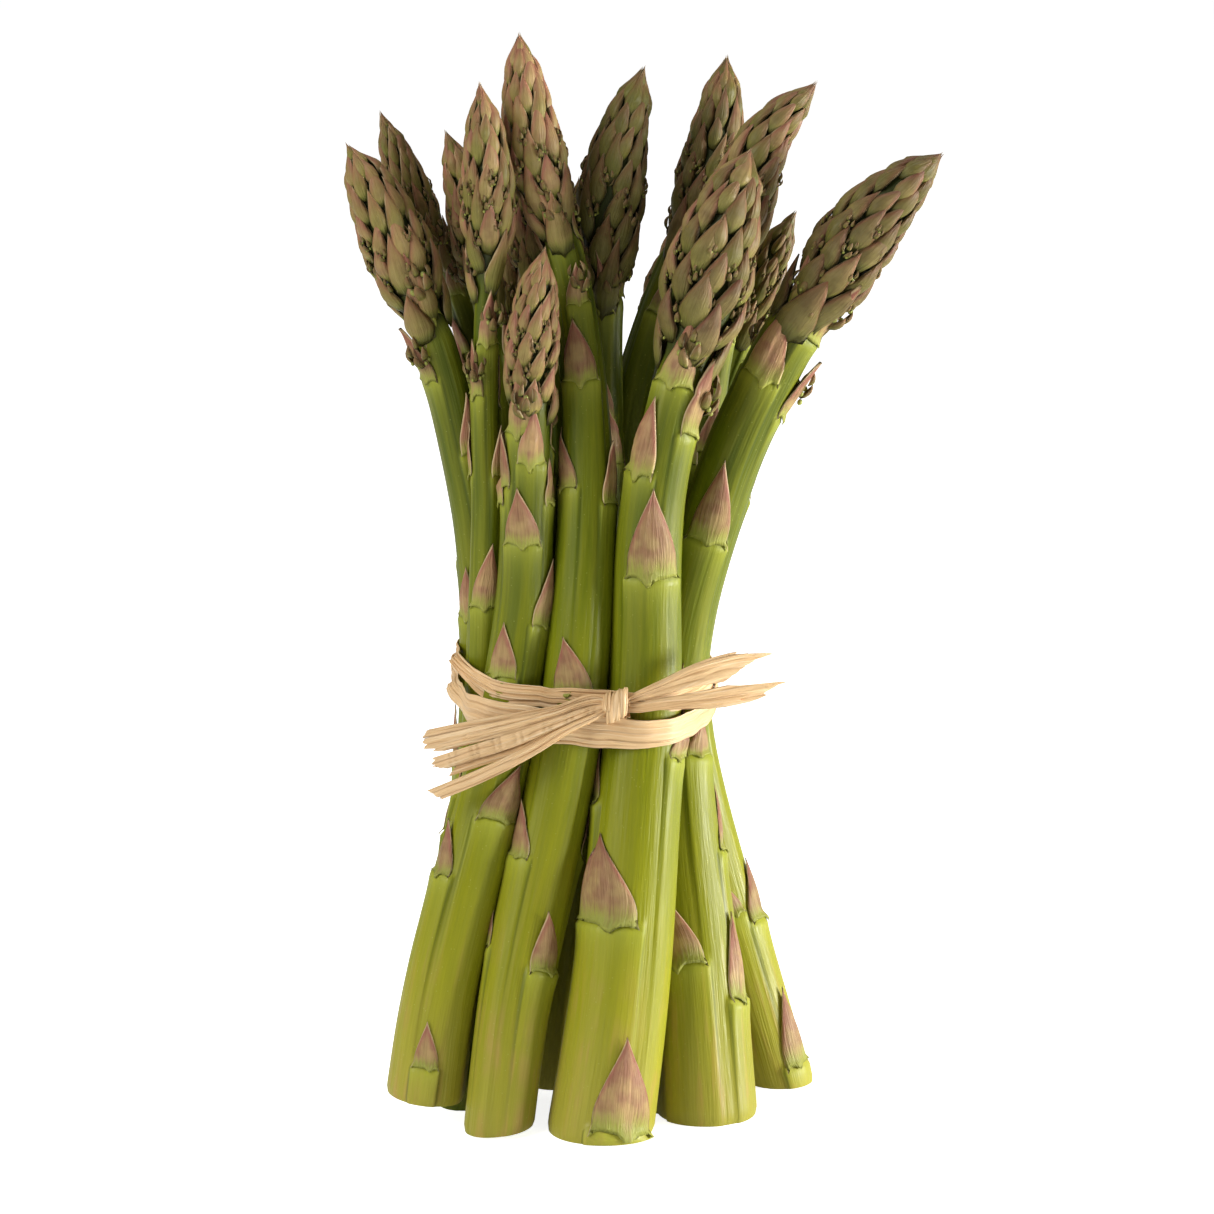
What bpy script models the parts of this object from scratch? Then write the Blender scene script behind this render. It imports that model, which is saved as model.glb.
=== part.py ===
"""A bundle of green asparagus: sixteen spears tied at the waist with raffia, standing on their cut ends.

Metres, +Z up. The origin is on the ground under the middle of the bundle, and the front faces -Y.
Lengths below are in millimetres, and MM turns them into metres where a mesh or a curve is made.
Each spear is one solid, as it grew: a tapered stem that swells into a pointed head. The tie is
two turns of raffia, a knot at the front, and the ends of the strips that stand out of the knot.
"""

import bmesh
import bpy
import numpy as np
from mathutils.geometry import convex_hull_2d

MM = 0.001

# The bundle.
TOP_HEIGHT = 212.0  # the tip of the tallest spear
WAIST_HEIGHT = 83.0  # where the tie holds the spears together
WAIST_CENTRE = (-2.5, 0.0)  # the middle of the bundle at the waist, in the frame of the routes below
TRIM_DEPTH = 6.0  # how far a stem is drawn past its cut before it is trimmed

# Spacing.
SPEAR_GAP = 0.45  # free space between two spears
LEVEL_STEP = 4.0  # distance between the heights at which spears are kept apart
SETTLE_ROUNDS = 500
FRONT_HOLD = 6.0  # how much harder a spear of the outer row is to push aside than an inner one

# Sections.
STEM_RINGS = 13
HEAD_RINGS = 8
SPEAR_SIDES = 3  # bevel resolution of a spear: ten sides
RAFFIA_THICKNESS = 0.45
WRAP_POINTS = 56

# The girth of a head from its base to its tip, as a share of its widest radius.
HEAD_SHAPE = ((0.0, 0.72), (0.18, 0.93), (0.38, 1.0), (0.62, 0.86), (0.82, 0.57), (0.94, 0.29), (1.0, 0.08))

# Each spear: its route from the cut to the tip as (x, y, height), the radius of its stem at the cut,
# at the waist and at the neck, then the length and the widest radius of its head.
SPEARS = {
    "spear_front_left": {
        "route": ((-34.2, -28, 0), (-31, -26, 24), (-22, -21, 60), (-17, -17.5, 82), (-14.4, -16, 99),
                  (-13.5, -16, 123), (-13, -17, 143), (-12.3, -18, 157), (-10.2, -18, 172)),
        "stem": (7.7, 5.5, 3.9), "head": (31, 5.1), "hold": FRONT_HOLD, "cut_height": 5.5, "cut_tilt": 0.13,
    },
    "spear_front_tall": {
        "route": ((-19.4, -34.5, 0), (-16.4, -29.5, 25), (-8.7, -22, 60), (-4.4, -18.5, 83),
                  (-3.3, -16.5, 99), (-2.2, -13, 122), (-2.9, -10, 141), (-5, -8, 160), (-8, -7, 173),
                  (-12.6, -6, 186), (-15.1, -5, 198), (-16.4, -4, TOP_HEIGHT)),
        "stem": (6.5, 6.2, 3.1), "head": (41, 5.7), "hold": FRONT_HOLD, "cut_height": 0.7, "cut_tilt": -0.1,
    },
    "spear_front_thick": {
        "route": ((0.7, -33, 0), (4.3, -29, 25), (7.3, -22.5, 60), (9, -17.5, 83), (9.3, -16.5, 99),
                  (10.3, -16, 122), (13.6, -16, 138), (17.5, -15, 153), (22.8, -14, 171),
                  (29.7, -12, 190.5)),
        "stem": (10.2, 7.1, 4.7), "head": (43, 8.5), "hold": 2 * FRONT_HOLD,
    },
    "spear_front_right": {
        "route": ((21, -22, 0), (19.6, -18, 22), (15.8, -9, 57), (14.9, -4.5, 80), (16.4, -4, 96),
                  (20.6, -4, 111), (27.6, -5, 133), (35.7, -6, 150), (41, -6, 160), (54.6, -6, 176.5),
                  (67, -6, 188.5)),
        "stem": (9.8, 6.4, 4.9), "head": (42, 7.6), "hold": FRONT_HOLD,
    },
    "spear_right": {
        "route": ((36, -1, 0), (31, 0.5, 17), (20.3, 5, 53), (16.6, 7.3, 69), (15.6, 8, 83), (16.6, 8, 99),
                  (18.6, 7, 125), (22, 5.5, 150), (24.6, 4.5, 165), (27.8, 3.5, 178), (33.6, 3, 192),
                  (42.6, 3, 201)),
        "stem": (6.3, 5.4, 3.8), "head": (41, 6.3), "hold": FRONT_HOLD,
    },
    "spear_right_small": {
        "route": ((26.5, 12, 0), (18.5, 14.5, 40), (12, 16, 83), (15.5, 16, 110), (24.5, 14.5, 140),
                  (29.7, 13, 154), (34.4, 12.5, 165), (39.1, 12, 175)),
        "stem": (4.9, 4.2, 2.4), "head": (26, 3.8),
    },
    "spear_right_tall": {
        "route": ((13.5, 5, 0), (9, 6, 40), (5.6, 7, 83), (4.5, 6.5, 110), (6.4, 7.5, 138),
                  (10.6, 10.5, 152), (16.6, 14, 167), (23.6, 17.5, 189), (25.4, 18.5, 205)),
        "stem": (6.2, 5.1, 3.2), "head": (40, 5.9),
    },
    "spear_middle": {
        "route": ((-8.5, -2, 0), (-4, -3, 40), (2.2, -4.4, 83), (1, -2.5, 110), (0.4, 0, 131), (0.4, 3, 151),
                  (0.6, 4, 161), (2.4, 6, 182), (8.5, 7, 204)),
        "stem": (6.2, 5.3, 3.4), "head": (45, 6.5),
    },
    "spear_left": {
        "route": ((-29, 13, 0), (-26, 8, 40), (-23, 1.5, 79), (-22.8, -0.5, 95), (-24.2, -2.5, 116),
                  (-26.9, -4, 131), (-30.4, -6, 148), (-33.8, -7, 159), (-42.4, -8, 178), (-48.4, -9, 191)),
        "stem": (5.5, 4.3, 3.9), "head": (38, 6.7), "hold": FRONT_HOLD,
    },
    "spear_left_slim": {
        "route": ((-33, 0, 0), (-29, -4, 40), (-22.6, -9, 81), (-22.2, -10, 97), (-21.3, -11, 121),
                  (-21.6, -11, 141), (-20.9, -11, 166), (-20.2, -11, 184), (-21.7, -11, 203)),
        "stem": (4.5, 3.3, 2.1), "head": (38, 5.2), "hold": FRONT_HOLD,
    },
    "spear_left_behind": {
        "route": ((-18.5, 22, 0), (-19, 15, 45), (-19, 9, 83), (-20, 7.5, 110), (-22.8, 6.5, 139),
                  (-26.8, 5, 158), (-31.4, 4, 169), (-38.9, 4, 185), (-42.4, 4, 195.5)),
        "stem": (4.7, 3.8, 2.1), "head": (30, 3.9),
    },
    "spear_left_inner": {
        "route": ((-10, 12, 0), (-11.5, 8, 45), (-13.5, 3.5, 83), (-15.5, 0.5, 110), (-18.2, -1, 139),
                  (-21.9, 0, 161), (-26.4, 2, 182), (-29.6, 2, 192)),
        "stem": (5.0, 4.1, 2.4), "head": (33, 4.8),
    },
    "spear_front_inner": {
        "route": ((-28.5, -19.5, 0), (-19, -12, 40), (-10, -6, 83), (-9, -6, 110), (-9.3, -5, 130),
                  (-10.5, -2, 160), (-12, 0, 176), (-14.5, 2, 197)),
        "stem": (5.4, 4.5, 2.9), "head": (34, 4.9),
    },
    "spear_core": {
        "route": ((3, 12, 0), (0, 10.5, 40), (-3.2, 8.5, 83), (-4.5, 8.5, 115), (-4.5, 10, 145),
                  (-3, 13, 181)),
        "stem": (5.4, 4.6, 3.1), "head": (33, 4.9),
    },
    "spear_back_left": {
        "route": ((-3.5, 26, 0), (-7, 20, 40), (-10.5, 15.5, 83), (-12, 16, 115), (-15, 19, 145),
                  (-19, 23, 165), (-22, 26, 178)),
        "stem": (6.1, 5.1, 3.7), "head": (36, 5.8),
    },
    "spear_back_right": {
        "route": ((13.5, 21, 0), (7, 19, 40), (1, 17, 83), (4, 19, 115), (11, 21.5, 143), (18, 25, 163),
                  (24, 28, 178)),
        "stem": (6.5, 5.3, 3.8), "head": (39, 6.4),
    },
}

# The two turns of the tie: the height of the middle of the strip at each quarter or eighth of a turn,
# by its azimuth in degrees from +X, then the strip's width and how far it lies off the spears.
WRAPS = {
    "raffia_wrap_upper": {
        "heights": ((0, 83.6), (90, 85.5), (180, 88), (225, 86.8), (270, 84.6), (315, 83.6)),
        "width": 3.6, "standoff": 0.55,
    },
    "raffia_wrap_lower": {
        "heights": ((0, 80.4), (90, 81.5), (180, 84), (225, 81), (270, 79), (315, 78.6)),
        "width": 5.2, "standoff": 1.35,
    },
}

KNOT_CENTRE = (3.6, -28.6, 84.3)
KNOT_SIZE = (4.8, 4.2, 5.4)
KNOT_TILT = 0.25

# The free ends of the strips: each route starts at the knot.
TAILS = {
    "raffia_tail_left_1": {
        "route": ((0.8, -27.6, 85.8), (-8.3, -28.0, 83.7), (-15.4, -28.0, 82.3), (-24.8, -27.2, 80.3),
                  (-34.6, -25.4, 77.8)),
        "width": 1.3,
    },
    "raffia_tail_left_2": {
        "route": ((0.8, -28.3, 84.8), (-8.3, -28.9, 82.4), (-15.4, -29.0, 80.4), (-24.8, -28.2, 77.9),
                  (-34.0, -26.2, 75.1)),
        "width": 2.7,
    },
    "raffia_tail_left_3": {
        "route": ((0.8, -29.0, 84.0), (-8.3, -29.8, 81.0), (-15.4, -30.0, 78.2), (-24.8, -29.4, 75.0),
                  (-32.4, -27.9, 72.1)),
        "width": 3.1,
    },
    "raffia_tail_left_4": {
        "route": ((0.8, -29.7, 83.0), (-5.2, -30.6, 80.4), (-12.3, -31.3, 76.3), (-22.8, -31.3, 71.0),
                  (-32.8, -30.0, 66.4)),
        "width": 2.8,
    },
    "raffia_tail_right_1": {
        "route": ((6.4, -28.2, 85.6), (12.1, -28.4, 88.4), (19.8, -27.4, 91.8), (26.7, -25.4, 93.3),
                  (34.5, -22.6, 93.3)),
        "width": 4.4,
    },
    "raffia_tail_right_2": {
        "route": ((6.4, -29.0, 84.1), (12.1, -29.3, 84.9), (19.8, -28.6, 85.6), (27.6, -26.6, 86.4),
                  (37.4, -23.2, 87.3)),
        "width": 4.2,
    },
}
TAIL_POINTS = 11
TAIL_TAPER = ((0.0, 0.5), (0.2, 0.85), (0.5, 1.0), (0.85, 1.0), (1.0, 0.75))

STEM_GREEN = (0.27, 0.36, 0.07, 1.0)
RAFFIA_TAN = (0.72, 0.52, 0.30, 1.0)


def clear_scene():
    for thing in list(bpy.data.objects):
        bpy.data.objects.remove(thing, do_unlink=True)


def smooth_through(knots, values, at):
    """A smooth curve through the values: cubic pieces that share the slope at each knot.

    The slope at a knot is that of the parabola through it and its two neighbours.
    """
    knots, values, at = (np.asarray(numbers, float) for numbers in (knots, values, at))
    slopes = np.gradient(values, knots)
    piece = np.clip(np.searchsorted(knots, at, side="right") - 1, 0, len(knots) - 2)
    span = knots[piece + 1] - knots[piece]
    along = np.clip((at - knots[piece]) / span, 0.0, 1.0)
    beyond = at - np.clip(at, knots[0], knots[-1])
    rise = values[piece + 1] - values[piece]
    start, end = slopes[piece] * span, slopes[piece + 1] * span
    bend, twist = 3 * rise - 2 * start - end, start + end - 2 * rise
    curve = values[piece] + along * (start + along * (bend + along * twist))
    return curve + beyond * np.where(at < knots[0], slopes[0], slopes[-1])


def neck_height(spear):
    """The height at which the head begins: the head's length measured back from the tip along the route."""
    route = np.array(spear["route"], float)
    heights = np.linspace(WAIST_HEIGHT, route[-1, 2], 200)
    x, y = (smooth_through(route[:, 2], route[:, axis], heights) for axis in (0, 1))
    path = np.stack([x, y, heights], axis=1)
    steps = np.linalg.norm(np.diff(path, axis=0), axis=1)
    to_tip = np.concatenate([np.cumsum(steps[::-1])[::-1], [0.0]])
    return float(np.interp(-spear["head"][0], -to_tip, heights))


def radius_at(spear, heights):
    """The radius of a spear: the stem thins from the cut to the neck, then the head swells to a point."""
    neck, tip = neck_height(spear), spear["route"][-1][2]
    cut_radius, waist_radius, neck_radius = spear["stem"]
    stem = smooth_through((0, WAIST_HEIGHT, neck), (cut_radius, waist_radius, neck_radius), heights)
    along = np.clip((heights - neck) / (tip - neck), 0.0, 1.0)
    share, girth = np.array(HEAD_SHAPE).T
    head = spear["head"][1] * smooth_through(share, girth, along)
    blend = np.clip(along / 0.2, 0.0, 1.0)
    return np.where(heights <= neck, stem, stem * (1 - blend) + head * blend)


def settled_routes():
    """Every spear's (x, y) at each level, moved no more than it takes to keep the spears apart.

    Two spears that come too near each other at a level are pushed apart by what is missing, and the
    one with the firmer hold moves less.
    The shift of each spear is then evened out along its length, so that it stays a smooth stem.
    """
    names = list(SPEARS)
    levels = np.arange(-TRIM_DEPTH, TOP_HEIGHT + LEVEL_STEP, LEVEL_STEP)
    drawn, reach = [], []
    for name in names:
        spear = SPEARS[name]
        route = np.array(spear["route"], float)
        x, y = (smooth_through(route[:, 2], route[:, axis], levels) for axis in (0, 1))
        lean = np.hypot(np.hypot(np.gradient(x, levels), np.gradient(y, levels)), 1.0)
        present = levels <= route[-1, 2] + 0.5 * LEVEL_STEP
        drawn.append(np.stack([x, y], axis=1))
        reach.append(np.where(present, radius_at(spear, levels) * lean, -1e3))
    drawn, reach = np.array(drawn), np.array(reach)
    wanted = reach[:, None] + reach[None] + SPEAR_GAP
    hold = np.array([SPEARS[name].get("hold", 1.0) for name in names])
    yields = hold[None] / (hold[:, None] + hold[None])
    shift = np.zeros_like(drawn)
    for step in range(SETTLE_ROUNDS):
        place = drawn + shift
        apart = place[:, None] - place[None]
        distance = np.linalg.norm(apart, axis=3) + 1e-9
        missing = np.clip(wanted - distance, 0.0, None)
        missing[np.arange(len(names)), np.arange(len(names))] = 0.0
        shift += ((yields[:, :, None] * missing / distance)[..., None] * apart).sum(axis=1)
        if step < 0.9 * SETTLE_ROUNDS:
            before, after = np.roll(shift, 1, axis=1), np.roll(shift, -1, axis=1)
            before[:, 0], after[:, -1] = shift[:, 0], shift[:, -1]
            shift = 0.5 * shift + 0.25 * (before + after)
    return levels, dict(zip(names, drawn + shift))


def material(name, colour, roughness):
    finish = bpy.data.materials.new(name)
    finish.use_nodes = True
    shader = finish.node_tree.nodes["Principled BSDF"]
    shader.inputs["Base Color"].default_value = colour
    shader.inputs["Roughness"].default_value = roughness
    shader.inputs["Metallic"].default_value = 0.0
    return finish


def curve_object(name, points, radii, bevel, extrude=0.0, sides=1, cyclic=False):
    """A poly curve through points in millimetres, with a round bevel or, with an extrusion, a flat strip."""
    curve = bpy.data.curves.new(name, "CURVE")
    curve.dimensions = "3D"
    curve.twist_mode = "Z_UP" if extrude else "MINIMUM"
    curve.fill_mode = "FULL"
    curve.bevel_depth = bevel * MM
    curve.bevel_resolution = sides
    curve.extrude = extrude * MM
    curve.use_fill_caps = not cyclic
    spline = curve.splines.new("POLY")
    spline.points.add(len(points) - 1)
    spline.points.foreach_set("co", np.hstack([np.asarray(points) * MM, np.ones((len(points), 1))]).ravel())
    spline.points.foreach_set("radius", np.asarray(radii, float))
    spline.use_cyclic_u = cyclic
    piece = bpy.data.objects.new(name, curve)
    bundle.objects.link(piece)
    return piece


def as_mesh(piece):
    """The curve object made into a mesh object of the same name, with its loose caps welded on."""
    name, place = piece.name, piece.matrix_world.copy()
    graph = bpy.context.evaluated_depsgraph_get()
    mesh = bpy.data.meshes.new_from_object(piece.evaluated_get(graph))
    bpy.data.objects.remove(piece, do_unlink=True)
    body = bmesh.new()
    body.from_mesh(mesh)
    bmesh.ops.remove_doubles(body, verts=body.verts, dist=1e-6)
    bmesh.ops.recalc_face_normals(body, faces=body.faces)
    body.to_mesh(mesh)
    body.free()
    mesh.name = name
    solid = bpy.data.objects.new(name, mesh)
    solid.matrix_world = place
    bundle.objects.link(solid)
    return solid


def trim_foot(solid, height, tilt):
    """Cuts the stem off at a height, square or with a tilt across the bundle, and closes the cut."""
    body = bmesh.new()
    body.from_mesh(solid.data)
    foot = [vert.co.x for vert in body.verts if vert.co.z < height * MM]
    middle = sum(foot) / len(foot)
    cut = bmesh.ops.bisect_plane(
        body, geom=body.verts[:] + body.edges[:] + body.faces[:], dist=1e-7,
        plane_co=(middle, 0.0, height * MM), plane_no=(-tilt, 0.0, -1.0), clear_outer=True)
    rim = [edge for edge in cut["geom_cut"] if isinstance(edge, bmesh.types.BMEdge)]
    bmesh.ops.contextual_create(body, geom=rim)
    bmesh.ops.recalc_face_normals(body, faces=body.faces)
    body.to_mesh(solid.data)
    body.free()


def make_spear(name, levels, route, finish):
    spear = SPEARS[name]
    neck, tip = neck_height(spear), spear["route"][-1][2]
    heights = np.concatenate([
        np.linspace(-TRIM_DEPTH, neck, STEM_RINGS),
        neck + (tip - neck) * (1 - (1 - np.linspace(0, 1, HEAD_RINGS + 1)[1:]) ** 1.25),
    ])
    x, y = (smooth_through(levels, route[:, axis], heights) for axis in (0, 1))
    radii = radius_at(spear, heights)
    solid = as_mesh(curve_object(name, np.stack([x, y, heights], axis=1), radii, 1.0, sides=SPEAR_SIDES))
    trim_foot(solid, spear.get("cut_height", 0.0), spear.get("cut_tilt", 0.0))
    solid.data.shade_smooth()
    solid.data.set_sharp_from_angle(angle=1.0)
    solid.data.materials.append(finish)
    return solid


def bundle_outline(height, levels, routes, clearance):
    """The tight closed line round all the stems at a height, as the corners of a convex polygon."""
    angles = np.linspace(0, 2 * np.pi, 36, endpoint=False)
    ring = np.stack([np.cos(angles), np.sin(angles)], axis=1)
    corners = []
    for name, route in routes.items():
        middle = np.array([np.interp(height, levels, route[:, axis]) for axis in (0, 1)])
        radius = radius_at(SPEARS[name], np.array([height]))[0] + clearance
        corners.extend(middle + radius * ring)
    return np.array([corners[index] for index in convex_hull_2d([tuple(corner) for corner in corners])])


def distance_out(outline, azimuths):
    """How far the outline is from the waist's centre in each direction: the nearest of its edges ahead."""
    outline = outline - np.array(WAIST_CENTRE)
    following = np.roll(outline, -1, axis=0)
    edges = following - outline
    normals = np.stack([edges[:, 1], -edges[:, 0]], axis=1)
    offsets = (normals * outline).sum(axis=1)
    normals, offsets = normals * np.sign(offsets)[:, None], np.abs(offsets)
    facing = np.stack([np.cos(azimuths), np.sin(azimuths)], axis=1) @ normals.T
    return np.min(np.where(facing > 1e-12, offsets / np.maximum(facing, 1e-12), np.inf), axis=1)


def make_wrap(name, levels, routes, finish):
    """A flat strip round the bundle: it hugs the stems, and rises and falls as it goes round."""
    wrap = WRAPS[name]
    azimuths = np.linspace(0, 360, WRAP_POINTS, endpoint=False)
    turns = np.array(wrap["heights"], float)
    turns = np.vstack([turns[-2:] - (360, 0), turns, turns[:2] + (360, 0)])
    heights = smooth_through(turns[:, 0], turns[:, 1], azimuths)
    clearance = wrap["standoff"] + 0.5 * RAFFIA_THICKNESS
    sampled = np.arange(heights.min() - wrap["width"], heights.max() + wrap["width"] + 1, 1.0)
    outlines = [bundle_outline(level, levels, routes, clearance) for level in sampled]
    reaches = np.array([distance_out(outline, np.radians(azimuths)) for outline in outlines])
    out = np.zeros(WRAP_POINTS)
    for edge in (-0.5, 0.0, 0.5):
        rows = heights + edge * wrap["width"]
        low = np.clip(((rows - sampled[0]) // 1.0).astype(int), 0, len(sampled) - 2)
        share = rows - sampled[low]
        columns = np.arange(WRAP_POINTS)
        out = np.maximum(out, reaches[low, columns] * (1 - share) + reaches[low + 1, columns] * share)
    x = WAIST_CENTRE[0] + out * np.cos(np.radians(azimuths))
    y = WAIST_CENTRE[1] + out * np.sin(np.radians(azimuths))
    points = np.stack([x, y, heights], axis=1)
    strip = curve_object(
        name, points, np.ones(WRAP_POINTS), 0.5 * RAFFIA_THICKNESS,
        extrude=0.5 * (wrap["width"] - RAFFIA_THICKNESS), sides=0, cyclic=True)
    solid = as_mesh(strip)
    solid.data.materials.append(finish)
    return solid


def make_tail(name, finish):
    """A flat strip from the knot to its free end, a little narrower where it leaves the knot."""
    tail = TAILS[name]
    route = np.array(tail["route"], float)
    runs = np.concatenate([[0.0], np.cumsum(np.linalg.norm(np.diff(route, axis=0), axis=1))])
    along = np.linspace(0, runs[-1], TAIL_POINTS)
    points = np.stack([smooth_through(runs, route[:, axis], along) for axis in range(3)], axis=1)
    share, taper = np.array(TAIL_TAPER).T
    radii = np.interp(along / runs[-1], share, taper)
    strip = curve_object(name, points, radii, 0.5 * RAFFIA_THICKNESS,
                         extrude=0.5 * (tail["width"] - RAFFIA_THICKNESS), sides=0)
    solid = as_mesh(strip)
    solid.data.materials.append(finish)
    return solid


def make_knot(finish):
    """The lump of the knot: a small round body, longer upright than across."""
    mesh = bpy.data.meshes.new("raffia_knot")
    body = bmesh.new()
    bmesh.ops.create_uvsphere(body, u_segments=16, v_segments=10, radius=0.5 * MM)
    bmesh.ops.scale(body, vec=KNOT_SIZE, verts=body.verts)
    body.to_mesh(mesh)
    body.free()
    solid = bpy.data.objects.new("raffia_knot", mesh)
    solid.location = [place * MM for place in KNOT_CENTRE]
    solid.rotation_euler = (0.0, KNOT_TILT, 0.0)
    bundle.objects.link(solid)
    mesh.shade_smooth()
    mesh.materials.append(finish)
    return solid


def centre_on_ground(solids):
    """Slides the whole bundle so that the middle of the box round these solids is over the origin."""
    bpy.context.view_layer.update()
    corners = np.array([solid.matrix_world @ vert.co for solid in solids for vert in solid.data.vertices])
    middle = 0.5 * (corners.min(axis=0) + corners.max(axis=0))
    for solid in bundle.objects:
        solid.location.x -= middle[0]
        solid.location.y -= middle[1]


clear_scene()
bundle = bpy.data.collections.new("asparagus_bundle")
bpy.context.scene.collection.children.link(bundle)
spear_finish = material("asparagus", STEM_GREEN, 0.45)
raffia_finish = material("raffia", RAFFIA_TAN, 0.7)

spear_levels, spear_routes = settled_routes()
held = [make_spear(name, spear_levels, route, spear_finish) for name, route in spear_routes.items()]
held += [make_wrap(name, spear_levels, spear_routes, raffia_finish) for name in WRAPS]
held.append(make_knot(raffia_finish))
for tail_name in TAILS:
    make_tail(tail_name, raffia_finish)
centre_on_ground(held)
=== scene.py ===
# %% [markdown]
# # A bundle of green asparagus, tied with raffia
#
# Sixteen spears stand on their cut ends, held at the waist by a few strips of raffia palm. Each spear
# grew as one piece: a ribbed stem, thin papery scales, and a head where the scales crowd together over
# small buds. Every shape below is a surface worked out with numpy: a function of two parameters, laid
# out on a grid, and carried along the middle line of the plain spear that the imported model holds.

import bpy
import numpy as np
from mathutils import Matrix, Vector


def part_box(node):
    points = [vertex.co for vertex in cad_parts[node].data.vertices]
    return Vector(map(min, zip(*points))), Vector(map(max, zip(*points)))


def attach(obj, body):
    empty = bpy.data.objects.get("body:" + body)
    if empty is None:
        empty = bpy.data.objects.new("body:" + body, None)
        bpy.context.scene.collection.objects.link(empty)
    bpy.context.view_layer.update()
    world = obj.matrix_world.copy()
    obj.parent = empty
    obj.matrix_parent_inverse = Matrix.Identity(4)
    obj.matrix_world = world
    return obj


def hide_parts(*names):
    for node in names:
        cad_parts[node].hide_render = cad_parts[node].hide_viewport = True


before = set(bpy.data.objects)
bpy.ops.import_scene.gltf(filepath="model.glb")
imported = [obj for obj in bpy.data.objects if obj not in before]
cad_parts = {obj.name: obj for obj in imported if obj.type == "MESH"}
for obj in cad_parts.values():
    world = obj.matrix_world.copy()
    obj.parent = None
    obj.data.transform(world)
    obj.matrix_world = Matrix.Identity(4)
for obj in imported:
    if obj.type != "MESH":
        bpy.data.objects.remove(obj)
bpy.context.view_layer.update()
MM = 0.001
print("nodes:", len(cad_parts))

# %% [markdown]
# ## The camera and the light
#
# The camera stands a little over a metre in front, a little above the bundle, with a long lens, which
# keeps the spears from spreading apart by perspective. The light is that of a small product studio: a
# large soft window over the left shoulder, a small strong one low at the right, which draws the bright
# edge down the right side of each stem and leaves the heads darker, a weak one overhead, and pale walls
# all round.

# %% The camera
CAMERA_PITCH = 12.5  # how far it looks down, in degrees
CAMERA_DISTANCE = 1100.0  # in millimetres, as is the point it looks at
CAMERA_AIM = (-7.3, 5.4, 97.6)
SENSOR_WIDTH = 36.0
LENS = 164.4
pitch = np.radians(CAMERA_PITCH)
camera_data = bpy.data.cameras.new("camera")
camera_data.sensor_width = SENSOR_WIDTH
camera_data.lens = LENS
camera_data.clip_start = 0.05
camera_data.clip_end = 20.0
camera = bpy.data.objects.new("camera", camera_data)
bpy.context.scene.collection.objects.link(camera)
camera.location = (
    CAMERA_AIM[0] * MM,
    (CAMERA_AIM[1] - CAMERA_DISTANCE * np.cos(pitch)) * MM,
    (CAMERA_AIM[2] + CAMERA_DISTANCE * np.sin(pitch)) * MM,
)
camera.rotation_euler = (np.radians(90.0 - CAMERA_PITCH), 0.0, 0.0)
bpy.context.scene.camera = camera
print("camera at", [round(value, 4) for value in camera.location])


# %% The lights and the floor
BUNDLE_MIDDLE = (0.0, 0.0, 0.1)
WALL_LIGHT = 0.13  # the light that the pale walls give, over the light they show
FLOOR_GLOW = (0.14, 0.85)  # the light that the lit table gives the spears, and the light it shows


def window_light(name, place, size, watts):
    """A soft square light at a place, in metres, turned so that it shines at the bundle's middle."""
    lamp = bpy.data.lights.new(name, "AREA")
    lamp.shape = "RECTANGLE"
    lamp.size, lamp.size_y = size
    lamp.energy = watts
    light = bpy.data.objects.new(name, lamp)
    bpy.context.scene.collection.objects.link(light)
    way = np.array(BUNDLE_MIDDLE) - np.array(place)
    flat = np.hypot(way[0], way[1])
    light.location = place
    light.rotation_euler = (np.arctan2(flat, -way[2]), 0.0, np.arctan2(way[1], way[0]) - np.pi / 2)


window_light("window left", (-0.85, -0.6, 0.65), (0.6, 0.7), 10.0)
window_light("window right", (0.95, -0.12, 0.13), (0.4, 0.22), 16.0)
window_light("window above", (0.0, 0.2, 1.0), (0.7, 0.7), 4.0)

world = bpy.data.worlds.new("pale studio")
world.use_nodes = True
studio = world.node_tree
studio.nodes["Background"].inputs["Color"].default_value = (1.0, 1.0, 1.0, 1.0)
seen = studio.nodes.new("ShaderNodeLightPath")
strength = studio.nodes.new("ShaderNodeMapRange")
strength.inputs["To Min"].default_value = WALL_LIGHT
strength.inputs["To Max"].default_value = 1.0
studio.links.new(seen.outputs["Is Camera Ray"], strength.inputs["Value"])
studio.links.new(strength.outputs[0], studio.nodes["Background"].inputs["Strength"])
bpy.context.scene.world = world
bpy.context.scene.view_settings.view_transform = "Standard"

floor_mesh = bpy.data.meshes.new("floor")
floor_mesh.from_pydata([(-6, -6, 0), (6, -6, 0), (6, 6, 0), (-6, 6, 0)], [], [(0, 1, 2, 3)])
floor = bpy.data.objects.new("floor", floor_mesh)
bpy.context.scene.collection.objects.link(floor)
floor_paint = bpy.data.materials.new("pale floor")
floor_paint.use_nodes = True
table = floor_paint.node_tree
matt = table.nodes["Principled BSDF"]
matt.inputs["Base Color"].default_value = (0.9, 0.9, 0.9, 1.0)
matt.inputs["Roughness"].default_value = 0.9
matt.inputs["Emission Color"].default_value = (1.0, 1.0, 1.0, 1.0)
seen = table.nodes.new("ShaderNodeLightPath")
glow = table.nodes.new("ShaderNodeMapRange")
glow.inputs["To Min"].default_value, glow.inputs["To Max"].default_value = FLOOR_GLOW
table.links.new(seen.outputs["Is Camera Ray"], glow.inputs["Value"])
table.links.new(glow.outputs[0], matt.inputs["Emission Strength"])
floor_mesh.materials.append(floor_paint)
print("lights:", [thing.name for thing in bpy.data.lights])

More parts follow.
